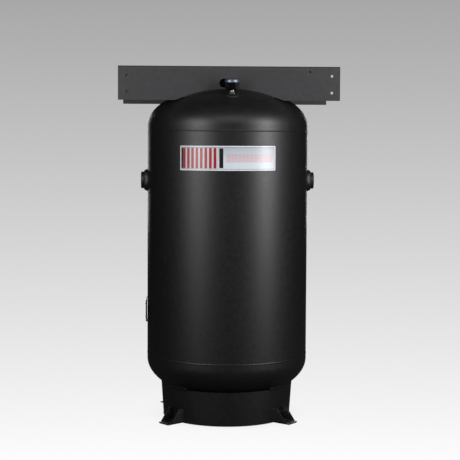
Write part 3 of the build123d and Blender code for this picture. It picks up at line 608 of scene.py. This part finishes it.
def ring_bead(name, node, z):
    """Bead round the tank at a seam: width runs up the shell, height stands off it, wrapped both ways."""
    turns, across = 2200, 9
    angle = np.arange(turns) * TAU / turns
    share = np.linspace(0, 1, across)[:, None]
    wander = 0.5 * MM * (np.sin(3 * angle + 1.0) + 0.6 * np.sin(11 * angle))
    along = angle * TANK_R
    rise = bead_height(share, along[None, :], SEAM_BEAD_PROUD, 0.25 * MM, along[-1] / 300)
    radius = TANK_R - 0.1 * MM + rise
    height = z + (share - 0.5) * SEAM_BEAD_W + wander
    points = np.stack([radius * np.cos(angle), radius * np.sin(angle), height + 0 * radius], axis=-1)
    root = TANK_R - 0.8 * MM
    back = np.stack([root * np.cos(angle), root * np.sin(angle), z + wander], axis=-1)
    points = np.concatenate([points, back[None]], axis=0)
    piece = surface(name, points, wrap_rows=True, wrap_cols=True, sharp_deg=70)
    return hang(piece, weld_black, "weld_paint", node)


def path_bead(name, centre, side_a, side_b, ends=True, ripple=0.3 * MM, pitch=2.6 * MM, across=9):
    """Bead along a path: centre, side_a and side_b are [n, 3] lines. Across it the surface runs from
    side_a over centre to side_b as a quadratic curve; ripples follow the arc length; the ends taper in."""
    step = np.linalg.norm(np.diff(centre, axis=0), axis=1)
    along = np.concatenate([[0], np.cumsum(step)])
    t = np.linspace(0, 1, across)[:, None, None]
    curve = (1 - t) ** 2 * side_a + 2 * t * (1 - t) * centre + t ** 2 * side_b
    root = (side_a + side_b) / 2
    lean = 0.35 * pitch * (1 - (2 * t - 1) ** 2)
    wave = np.abs(np.sin(math.pi * (along[None, :, None] + lean) / pitch))
    outward = (centre - root) / np.maximum(np.linalg.norm(centre - root, axis=1, keepdims=True), 1e-9)
    curve = curve + ripple * wave * np.sin(math.pi * t) * outward
    if ends:
        fade = np.clip(np.minimum(along, along[-1] - along) / (3 * MM), 0, 1) ** 0.5
        curve = root + (curve - root) * np.maximum(fade, 0.02)[None, :, None]
    sunk = root - outward * 0.6 * MM
    points = np.concatenate([curve, sunk[None]], axis=0)
    return surface(name, points, wrap_rows=True, sharp_deg=70)


def join(name, parts):
    """One piece from several."""
    bm = bmesh.new()
    for part in parts:
        bm.from_mesh(part.data)
    mesh = bpy.data.meshes.new(name)
    bm.to_mesh(mesh)
    bm.free()
    for part in parts:
        bpy.data.objects.remove(part)
    return smooth_object(name, mesh, 60)


def capped(piece):
    """Closes the open ends of a tube-like piece and turns its faces outwards."""
    bm = bmesh.new()
    bm.from_mesh(piece.data)
    bmesh.ops.remove_doubles(bm, verts=bm.verts, dist=1e-6)
    edges = [e for e in bm.edges if e.is_boundary]
    bmesh.ops.holes_fill(bm, edges=edges, sides=0)
    bmesh.ops.recalc_face_normals(bm, faces=bm.faces)
    bm.to_mesh(piece.data)
    bm.free()
    return piece


def make_long_weld():
    """The shell's own seam, straight up its rear left."""
    low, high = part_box("shell_long_weld")
    turn = math.atan2((low.y + high.y) / 2, (low.x + high.x) / 2)
    height = np.arange(low.z, high.z, 1.0 * MM)
    half = 3.4 * MM / TANK_R

    def line(shift, radius):
        a = turn + shift + 0.0006 * np.sin(height * 40)
        return np.stack([radius * np.cos(a), radius * np.sin(a), height], axis=-1)

    piece = path_bead("long_seam_bead", line(0, TANK_R + 2.4 * MM), line(-half, TANK_R - 0.05 * MM),
                      line(half, TANK_R - 0.05 * MM))
    return hang(capped(piece), weld_black, "weld_paint", "shell_long_weld")


def make_ring_stitches():
    """Fillets between the base ring and the bottom head, one for each CAD stitch."""
    parts = []
    for start in STITCH_STARTS:
        angle = np.radians(np.arange(start, start + STITCH_ARC, 0.22))
        wobble = 0.4 * MM * np.sin(angle * 37)

        def line(radius, z):
            return np.stack([radius * np.cos(angle), radius * np.sin(angle), z + 0 * angle], axis=-1)

        upper_r = RING_TOP_R + 3.6 * MM + wobble
        upper = line(upper_r, BOTTOM_TANGENT - head_height(upper_r))
        lower = line(RING_TOP_R - 0.15 * MM, RING_TOP_Z - 4.2 * MM + wobble)
        middle = line(RING_TOP_R + 3.2 * MM, RING_TOP_Z + 0.2 * MM)
        parts.append(capped(path_bead("stitch", middle, lower, upper, pitch=3.0 * MM)))
    piece = join("base_ring_stitches", parts)
    return hang(piece, weld_black, "weld_paint", "base_ring_welds")


def make_foot_beads():
    """Upright fillets down both sides of each foot, where its walls meet the base ring."""
    top_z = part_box("foot_front_right")[1].z
    parts = []
    for turn in FOOT_TURNS:
        for side in (-1, 1):
            z = np.arange(6 * MM, top_z - 1 * MM, 0.9 * MM)
            ring_r = RING_LOW_R + (RING_TOP_R - RING_LOW_R) * z / RING_TOP_Z

            def line(y, out):
                x = np.sqrt((ring_r + out) ** 2 - y ** 2)
                local = np.stack([x, side * y + 0 * z, z], axis=-1)
                c, s = math.cos(math.radians(turn)), math.sin(math.radians(turn))
                return local @ np.array([[c, s, 0], [-s, c, 0], [0, 0, 1]])

            on_foot = line(FOOT_HALF_W - 0.1 * MM, 4.0 * MM)
            on_ring = line(FOOT_HALF_W + 4.2 * MM, -0.1 * MM)
            middle = line(FOOT_HALF_W + 1.4 * MM, 1.6 * MM)
            parts.append(capped(path_bead("bead", middle, on_foot, on_ring, pitch=2.4 * MM)))
    piece = join("foot_beads", parts)
    return hang(piece, weld_black, "weld_paint", "foot_welds")


def make_platform_beads():
    """Fillets where the platform's front skirt and the saddle stand on the top head."""
    front_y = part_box("platform")[0].y
    low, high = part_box("platform_welds")
    parts = []
    for face_y, out in ((front_y, -1), (-front_y, 1)):
        x = np.arange(low.x + 1 * MM, high.x - 1 * MM, 0.8 * MM)

        def on_head(y):
            return np.stack([x, y + 0 * x, head_top_z(x, y)], axis=-1)

        sheet_z = head_top_z(x, face_y) + 4.6 * MM
        on_sheet = np.stack([x, face_y + 0.1 * MM * -out + 0 * x, sheet_z], axis=-1)
        foot = on_head(face_y + out * 4.4 * MM)
        middle = on_head(face_y + out * 1.6 * MM)
        middle[:, 2] += 1.8 * MM
        parts.append(capped(path_bead("bead", middle, on_sheet, foot, pitch=2.8 * MM)))
    piece = join("platform_beads", parts)
    return hang(piece, weld_black, "weld_paint", "platform_welds")


# ---------------------------------------------------------------- side ports
def coupling_points(length, outer, bore, pitch, crest, turns=128):
    """Half coupling standing on Z = 0: chamfered outside, faced end, and a screw thread down the bore.
    Outside and end are a rounded profile; the bore's radius falls by the thread's triangle wave."""
    end = rounded([(outer, 0), (outer, length - 1.4 * MM), (outer - 1.4 * MM, length),
                   (bore + 1.8 * MM, length), (bore + 0.2 * MM, length - 1.8 * MM)], 0.6 * MM)
    depth = np.arange(length - 2.0 * MM, 0.0, -pitch / 5)
    profile = np.vstack([end, np.column_stack([np.full(len(depth), bore + 0.2 * MM), depth])])
    profile = np.vstack([profile, [(bore + 0.2 * MM, 0.0)]])
    angle = np.arange(turns) * TAU / turns
    wave = thread_wave(profile[:, 1:2], angle[None, :], pitch) * crest
    threaded = np.zeros((len(profile), 1))
    threaded[len(end):] = 1
    fade = np.clip((length - 2.0 * MM - profile[:, 1:2]) / (2 * pitch), 0, 1)
    return rings(profile, turns, -wave * threaded * fade)


def make_port(side, word):
    """Side coupling with its thread, and the built-up fillet that joins it to the shell."""
    inner_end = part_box("port_coupling_right")[0].x
    points = coupling_points(PORT_END - inner_end, PORT_R, PORT_BORE, 2.2 * MM, 1.1 * MM)
    points[..., 2] += inner_end
    points = to_x(points, side)
    points[..., 2] += PORT_Z
    piece = closed_outwards(surface("port_collar_" + word, points, wrap_rows=True, wrap_cols=True))
    hang(piece, tank_black, "tank_paint", "port_coupling_" + word)

    turns = 640
    angle = np.arange(turns) * TAU / turns
    build_up = [(44.0, 0.0), (41.5, 2.2), (39.4, 6.0), (38.3, 10.0), (35.8, 12.8), (31.8, 13.4)]
    profile = rounded(build_up, 2.4) * MM
    radius, lift = profile[:, :1], profile[:, 1:2]
    share = np.linspace(0, 1, len(profile))[:, None]
    phase = angle[None, :] * 58 + 2.2 * np.sin(share * 3.0)
    ripple = np.abs(np.sin(phase / 2)) * np.sin(math.pi * share) * 0.7 * MM
    lump = 0.5 * MM * np.sin(3 * angle + 0.6)[None, :] * share
    ring_r = radius + ripple * 0.6 + lump * 0.4
    y, z = ring_r * np.cos(angle), ring_r * np.sin(angle)
    saddle = np.sqrt(TANK_R ** 2 - y ** 2)
    blend = np.clip(lift / (6 * MM), 0, 1)
    out = saddle * (1 - blend) + TANK_R * blend + lift + ripple * 0.5 - 0.2 * MM * (share == 0)
    points = np.stack([side * out, y, z + PORT_Z], axis=-1)
    inner = np.stack([side * (TANK_R - 12 * MM + 0 * angle), PORT_R * np.cos(angle),
                      PORT_R * np.sin(angle) + PORT_Z], axis=-1)
    points = np.concatenate([points, inner[None]], axis=0)
    weld = surface("port_fillet_" + word, points, wrap_rows=True, wrap_cols=True, sharp_deg=75)
    hang(closed_outwards(weld), weld_black, "weld_paint", "port_weld_" + word)


# ---------------------------------------------------------------- inlet and check valve
def at_inlet(points):
    points[..., 0] += INLET[0]
    points[..., 1] += INLET[1]
    return points


def make_inlet():
    """Boss in the head, the weld round it and the nipple, each a profile carried round Z. The weld's
    profile stands on the head's height; the nipple's radius falls by the thread's triangle wave."""
    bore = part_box("inlet_nipple")[1].x - INLET[0]
    length = INLET_HIGH.z - INLET_LOW.z
    points = coupling_points(length, INLET_R, bore, 1.4 * MM, 0.0, 96)
    points[..., 2] += INLET_LOW.z
    piece = closed_outwards(surface("inlet_boss", at_inlet(points), wrap_rows=True, wrap_cols=True))
    hang(piece, tank_black, "tank_paint", "inlet_coupling")

    turns = 420
    angle = np.arange(turns) * TAU / turns
    profile = rounded([(26.3, -0.3), (24.5, 3.2), (20.5, 5.4), (17.0, 6.4), (14.0, 6.6)], 2.0) * MM
    share = np.linspace(0, 1, len(profile))[:, None]
    ripple = np.abs(np.sin(angle[None, :] * 19 + 1.6 * share)) * np.sin(math.pi * share) * 0.6 * MM
    radius = profile[:, :1] + 0.6 * ripple
    x = INLET[0] + radius * np.cos(angle)
    y = INLET[1] + radius * np.sin(angle)
    lift = profile[:, 1:2] + ripple
    ceiling = INLET_HIGH.z - 0.8 * MM
    z = np.minimum(head_top_z(x, y) + lift, np.maximum(ceiling, head_top_z(x, y) + 0.4 * MM))
    points = np.stack([x, y, z], axis=-1)
    core = np.stack([INLET[0] + INLET_R * np.cos(angle), INLET[1] + INLET_R * np.sin(angle),
                     head_top_z(INLET[0], INLET[1]) - 16 * MM + 0 * angle], axis=-1)
    points = np.concatenate([points, core[None]], axis=0)
    weld = closed_outwards(surface("inlet_fillet", points, wrap_rows=True, wrap_cols=True, sharp_deg=75))
    hang(weld, weld_black, "weld_paint", "inlet_weld")

    low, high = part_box("inlet_nipple")
    height = np.arange(low.z, high.z, 0.35 * MM)
    hole = 6.2 * MM
    wall = np.column_stack([np.full(len(height), bore - 0.02 * MM), height])
    profile = np.vstack([[(hole, low.z)], wall, [(hole, high.z)]])
    turns = 96
    angle = np.arange(turns) * TAU / turns
    wave = 1 - thread_wave(profile[:, 1:2], angle[None, :], 1.41 * MM)
    shown = np.abs(profile[:, 1:2] - (INLET_HIGH.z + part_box("check_valve_body")[0].z) / 2)
    cut = np.clip((shown - 1.2 * MM) / (1.5 * MM), 0, 1) * 0.7 * MM
    cut[0], cut[-1] = 0, 0
    points = at_inlet(rings(profile, turns, -wave * cut))
    pipe = closed_outwards(surface("inlet_pipe", points, wrap_rows=True, wrap_cols=True, sharp_deg=60))
    hang(pipe, nipple_zinc, "zinc_plate", "inlet_nipple")


def make_check_valve():
    """Hexagon body, collar, disc and spring. The collar is a rounded profile carried round Z whose bore
    radius falls by the thread's triangle wave; the spring is a circle carried along a helix."""
    hang(eased("check_valve_body", 0.9, segments=3), black_chrome, "black_plated_steel", "check_valve_body")
    low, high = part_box("check_valve_cap")
    joint_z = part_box("check_valve_body")[1].z
    outer = high.x - INLET[0]
    bore = mount("valve_inlet")["dims"]["r_mm"] * MM
    floor_z = high.z - mount("valve_inlet")["dims"]["length_mm"] * MM
    spigot, seat = 17.0 * MM, 7.0 * MM
    outside = rounded([(seat, low.z), (spigot, low.z), (spigot, joint_z), (outer - 1.5 * MM, joint_z),
                       (outer, joint_z + 1.5 * MM), (outer, high.z - 4.5 * MM), (outer - 4.5 * MM, high.z),
                       (bore + 1.5 * MM, high.z), (bore, high.z - 1.5 * MM)], 0.7 * MM)
    depth = np.arange(high.z - 1.7 * MM, floor_z, -0.36 * MM)
    thread = np.column_stack([np.full(len(depth), bore), depth])
    profile = np.vstack([outside, thread, [(bore, floor_z), (seat, floor_z)]])
    turns = 160
    angle = np.arange(turns) * TAU / turns
    wave = thread_wave(profile[:, 1:2], angle[None, :], 1.81 * MM) * 0.9 * MM
    mask = np.zeros((len(profile), 1))
    mask[len(outside):len(outside) + len(thread)] = 1
    points = at_inlet(rings(profile, turns, -wave * mask))
    cap = closed_outwards(surface("valve_collar", points, wrap_rows=True, wrap_cols=True, sharp_deg=45))
    hang(cap, collar_chrome, "bright_chrome", "check_valve_cap")
    hang(eased("check_valve_poppet", 0.3), yellow_brass, "brass", "check_valve_poppet", body="poppet")
    low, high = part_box("check_valve_spring")
    wire = 0.6 * MM
    coil_r = (high.x - low.x) / 2 - wire
    turn = np.linspace(0, 3.0 * TAU, 320)
    centre = np.stack([INLET[0] + coil_r * np.cos(turn), INLET[1] + coil_r * np.sin(turn),
                       low.z + wire + (high.z - low.z - 2 * wire) * turn / turn[-1]], axis=-1)
    spring = capped(tube("valve_spring", centre, wire, 12))
    hang(spring, drawn_wire, "spring_steel", "check_valve_spring")


def tube(name, centre, radius, sides=24):
    """Round bar along a line of points: a circle carried in frames made from the tangent and a fixed up."""
    tangent = np.gradient(centre, axis=0)
    tangent /= np.linalg.norm(tangent, axis=1, keepdims=True)
    up = np.array([0.0, 0.0, 1.0]) if np.abs(tangent[:, 2]).max() < 0.9 else np.array([1.0, 0.0, 0.0])
    side = np.cross(tangent, up)
    side /= np.linalg.norm(side, axis=1, keepdims=True)
    rise = np.cross(side, tangent)
    angle = np.arange(sides) * TAU / sides
    radius = np.broadcast_to(radius, len(centre))[:, None, None]
    ring = np.cos(angle)[None, :, None] * side[:, None] + np.sin(angle)[None, :, None] * rise[:, None]
    return surface(name, centre[:, None] + radius * ring, wrap_cols=True)


# ---------------------------------------------------------------- label and nameplate
def with_uv(piece, u, v):
    """UV map from two arrays of one value per vertex."""
    mesh = piece.data
    layer = mesh.uv_layers.new(name="print")
    index = np.empty(len(mesh.loops), dtype=np.int32)
    mesh.loops.foreach_get("vertex_index", index)
    layer.data.foreach_set("uv", np.column_stack([u, v])[index].astype(np.float32).ravel())
    return piece


def make_label():
    """Film wrapped on the shell: a grid in angle and height with its corners rounded, 0.4 mm thick."""
    low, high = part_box("front_label")
    left, right = (math.asin(x / (TANK_R + 0.4 * MM)) for x in (low.x, high.x))
    middle, half = (left + right) / 2, (right - left) / 2
    cols, rows = 161, 33
    angle = np.linspace(-half, half, cols)[None, :]
    t = np.linspace(0, 1, rows)[:, None]
    radius = TANK_R + 0.38 * MM
    corner = 2.5 * MM
    inset_angle = np.minimum(half - np.abs(angle), corner / radius) * radius
    pull = corner - np.sqrt(np.clip(corner ** 2 - (corner - inset_angle) ** 2, 0, None))
    height = low.z + pull + (high.z - low.z - 2 * pull) * t
    turned = angle + middle
    points = np.stack([radius * np.sin(turned) + 0 * t, -radius * np.cos(turned) + 0 * t, height], axis=-1)
    piece = surface("label_film", points)
    co = np.empty(len(piece.data.vertices) * 3)
    piece.data.vertices.foreach_get("co", co)
    co = co.reshape(-1, 3)
    u = (np.arctan2(co[:, 0], -co[:, 1]) - left) / (right - left)
    v = (co[:, 2] - low.z) / (high.z - low.z)
    with_uv(piece, u, v)
    thicken(piece, 0.3 * MM)
    return hang(piece, label_material(), "label_film", "front_label")


def make_nameplate():
    """Blank etched plate on its bracket, with four low rivets, each a quarter circle carried round X."""
    hang(eased("nameplate_bracket", 0.6), tank_black, "tank_paint", "nameplate_bracket")
    low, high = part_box("nameplate")
    piece = eased("nameplate", 0.15)
    co = np.empty(len(piece.data.vertices) * 3)
    piece.data.vertices.foreach_get("co", co)
    co = co.reshape(-1, 3)
    with_uv(piece, 1 - (co[:, 1] - low.y) / (high.y - low.y), (co[:, 2] - low.z) / (high.z - low.z))
    hang(piece, nameplate_material(), "nameplate_metal", "nameplate")
    head_low, head_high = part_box("nameplate_rivets")
    proud = head_high.x - head_low.x
    radius = 2.6 * MM
    parts = []
    for y in (head_low.y + radius, head_high.y - radius):
        for z in (head_low.z + radius, head_high.z - radius):
            sweep = np.linspace(0, math.pi / 2, 7)
            dome = np.column_stack([radius * np.cos(sweep), proud * np.sin(sweep)])
            profile = np.vstack([[(1e-9, 0.0)], dome])
            points = to_x(rings(profile, 24), -1)
            points += np.array([head_high.x, y, z])
            parts.append(closed_outwards(surface("rivet", points, wrap_cols=True)))
    rivets = join("plate_rivets", parts)
    hang(rivets, plate_aluminium, "rivet_metal", "nameplate_rivets")


# ---------------------------------------------------------------- drain
def make_drain():
    """Condensate line under the tank and its ball cock behind the base ring."""
    hang(eased("drain_coupling", 0.5), tank_black, "tank_paint", "drain_coupling")
    hang(eased("drain_weld", 0.6, segments=3), weld_black, "weld_paint", "drain_weld")
    hang(eased("drain_elbow", 0.9, cut_deg=40, segments=3), dull_galvanised, "galvanised_pipe", "drain_elbow")
    hang(eased("drain_pipe", 0.4), dull_galvanised, "galvanised_pipe", "drain_pipe")
    for node in ("drain_cock_body", "drain_cock_tail", "drain_cock_gland"):
        hang(eased(node, 0.5, segments=3), yellow_brass, "brass", node)
    hang(eased("drain_cock_seats", 0.2), seat_white, "seat_plastic", "drain_cock_seats")
    turning = (
        ("ball", 0.2, 2, bright_chrome, "bright_chrome"),
        ("stem", 0.3, 2, yellow_brass, "brass"),
        ("lever", 0.4, 2, bright_zinc, "zinc_plate"),
        ("nut", 0.4, 2, bright_zinc, "zinc_plate"),
        ("grip", 1.4, 4, grip_red, "grip_vinyl"),
    )
    for part, width, segments, finish, slot in turning:
        node = "drain_cock_" + part
        hang(eased(node, width, segments=segments), finish, slot, node, body="drain_lever")


# ---------------------------------------------------------------- the whole object
def make_sheet_parts():
    """Plate parts that keep their CAD shape, with rolled and cut edges eased."""
    hang(eased("base_ring", 0.6), tank_black, "tank_paint", "base_ring")
    for place in ("front_left", "front_right", "rear_left", "rear_right"):
        hang(eased("foot_" + place, 0.7, segments=3), tank_black, "tank_paint", "foot_" + place)
    hang(eased("platform", 0.6), platform_grey, "platform_paint", "platform")
    hang(eased("platform_saddle", 0.6), platform_grey, "platform_paint", "platform_saddle")


make_shell()
make_top_head()
make_bottom_head()
ring_bead("top_seam_bead", "top_seam_weld", TOP_SEAM)
ring_bead("bottom_seam_bead", "bottom_seam_weld", BOTTOM_SEAM)
make_long_weld()
make_ring_stitches()
make_foot_beads()
make_platform_beads()
make_port(1, "right")
make_port(-1, "left")
make_inlet()
make_check_valve()
make_label()
make_nameplate()
make_drain()
make_sheet_parts()


# ---------------------------------------------------------------- floor, light and camera
def make_floor():
    """Pale round floor: the eye sees the pale surround through it, with a painted contact shadow beside the
    base ring and painted shade, nearly black, inside it; reflections see a dim grey sheet."""
    reach = 6.0
    radius = np.concatenate([[reach, 3.0, 1.5], np.linspace(1.0, 0.1, 60), [1e-9]])
    floor = surface("floor", rings(np.column_stack([radius, np.zeros(len(radius))]), 96), wrap_cols=True)
    material = bpy.data.materials.new("pale_floor")
    material.use_nodes = True
    tree = material.node_tree
    tree.nodes.clear()
    output = tree.nodes.new("ShaderNodeOutputMaterial")
    dim = tree.nodes.new("ShaderNodeBsdfDiffuse")
    dim.inputs["Color"].default_value = (0.06, 0.06, 0.06, 1)
    clear = tree.nodes.new("ShaderNodeBsdfTransparent")
    shade = tree.nodes.new("ShaderNodeBsdfTransparent")
    where = tree.nodes.new("ShaderNodeTexCoord")
    length = tree.nodes.new("ShaderNodeVectorMath")
    length.operation = "LENGTH"
    tree.links.new(where.outputs["Object"], length.inputs[0])
    # Painted contact shadow: for the eye, the floor is darkened by radius just outside the base ring.
    painted_contact_shadow = spread(tree, length.outputs["Value"], 0.235, 0.31, 1.0, 0.0)
    # Painted shade: for the eye, the floor is nearly black inside the base ring and a touch darker just
    # outside it.
    under = spread(tree, length.outputs["Value"], 0.240, 0.246, 0.02, 0.94)
    tree.links.new(under, shade.inputs["Color"])
    seen = tree.nodes.new("ShaderNodeMixShader")
    tree.links.new(painted_contact_shadow, seen.inputs[0])
    tree.links.new(clear.outputs[0], seen.inputs[1])
    tree.links.new(shade.outputs[0], seen.inputs[2])
    path = tree.nodes.new("ShaderNodeLightPath")
    mix = tree.nodes.new("ShaderNodeMixShader")
    tree.links.new(path.outputs["Is Camera Ray"], mix.inputs[0])
    tree.links.new(dim.outputs[0], mix.inputs[1])
    tree.links.new(seen.outputs[0], mix.inputs[2])
    tree.links.new(mix.outputs[0], output.inputs["Surface"])
    floor.data.materials.append(material)


def make_surround():
    """Plain surround: white below rising to grey above for the eye, even in the height of the view,
    and nearly dark for reflections."""
    world = bpy.data.worlds.new("studio")
    bpy.context.scene.world = world
    world.use_nodes = True
    tree = world.node_tree
    tree.nodes.clear()
    output = tree.nodes.new("ShaderNodeOutputWorld")
    seen = tree.nodes.new("ShaderNodeBackground")
    lit = tree.nodes.new("ShaderNodeBackground")
    lit.inputs["Color"].default_value = (0.5, 0.51, 0.53, 1)
    lit.inputs["Strength"].default_value = 0.010
    where = tree.nodes.new("ShaderNodeTexCoord")
    split = tree.nodes.new("ShaderNodeSeparateXYZ")
    tree.links.new(where.outputs["Generated"], split.inputs[0])
    shown = spread(tree, split.outputs["Z"], -0.2627, 0.27, 1.0, 0.50)
    curve = math_node(tree, "MULTIPLY", math_node(tree, "ADD", shown, 0.055), 1 / 1.055)
    tree.links.new(math_node(tree, "POWER", curve, 2.4), seen.inputs["Color"])
    path = tree.nodes.new("ShaderNodeLightPath")
    mix = tree.nodes.new("ShaderNodeMixShader")
    tree.links.new(path.outputs["Is Camera Ray"], mix.inputs[0])
    tree.links.new(lit.outputs[0], mix.inputs[1])
    tree.links.new(seen.outputs[0], mix.inputs[2])
    tree.links.new(mix.outputs[0], output.inputs["Surface"])


def softbox(name, azimuth, distance, height, size, power, aim_z, color=(1, 1, 1)):
    """Rectangular light at an azimuth from the front, pointing at the tank's axis."""
    light = bpy.data.lights.new(name, "AREA")
    light.shape = "RECTANGLE"
    light.size, light.size_y = size
    light.energy = power
    light.color = color
    lamp = bpy.data.objects.new(name, light)
    turn = math.radians(azimuth)
    lamp.location = (distance * math.sin(turn), -distance * math.cos(turn), height)
    aim = Vector((0, 0, aim_z)) - lamp.location
    lamp.rotation_mode = "QUATERNION"
    lamp.rotation_quaternion = aim.to_track_quat("-Z", "Y")
    lamp.visible_camera = False
    bpy.context.scene.collection.objects.link(lamp)
    return lamp


def make_lights():
    softbox("left_strip", -42, 2.6, 1.50, (0.95, 1.7), 38, 1.0)
    softbox("right_strip", 51, 2.6, 1.50, (0.75, 1.7), 58, 1.0)
    softbox("front_fill", 4, 3.2, 3.3, (2.6, 1.0), 22, 1.2)
    softbox("top_light", 170, 2.6, 3.0, (1.6, 1.0), 4, 1.1)
    softbox("drain_light", 180, 2.4, 0.8, (0.9, 0.5), 12, 0.1)
    softbox("rear_left_strip", -160, 2.8, 1.15, (0.6, 1.3), 10, 0.75)
    softbox("rear_right_strip", 160, 2.8, 1.15, (0.6, 1.3), 12, 0.75)


def make_camera():
    """Long lens near the top seam's height, a little to the left, aimed slightly down, a little rolled."""
    camera = bpy.data.cameras.new("camera")
    camera.sensor_width = 36.0
    camera.lens = CAMERA["lens"]
    camera.shift_y = CAMERA["shift"]
    holder = bpy.data.objects.new("camera", camera)
    azimuth = math.radians(CAMERA["azimuth"])
    reach = CAMERA["distance"]
    holder.location = (reach * math.sin(azimuth), -reach * math.cos(azimuth), CAMERA["height"])
    look = Matrix.Rotation(math.radians(CAMERA["yaw"]), 3, "Z")
    look = look @ Matrix.Rotation(math.radians(90 - CAMERA["pitch"]), 3, "X")
    look = look @ Matrix.Rotation(math.radians(CAMERA["roll"]), 3, "Z")
    holder.rotation_mode = "QUATERNION"
    holder.rotation_quaternion = look.to_quaternion()
    camera.clip_end = 50
    bpy.context.scene.collection.objects.link(holder)
    bpy.context.scene.camera = holder


make_floor()
make_surround()
make_lights()
make_camera()
bpy.context.scene.view_settings.view_transform = "Standard"
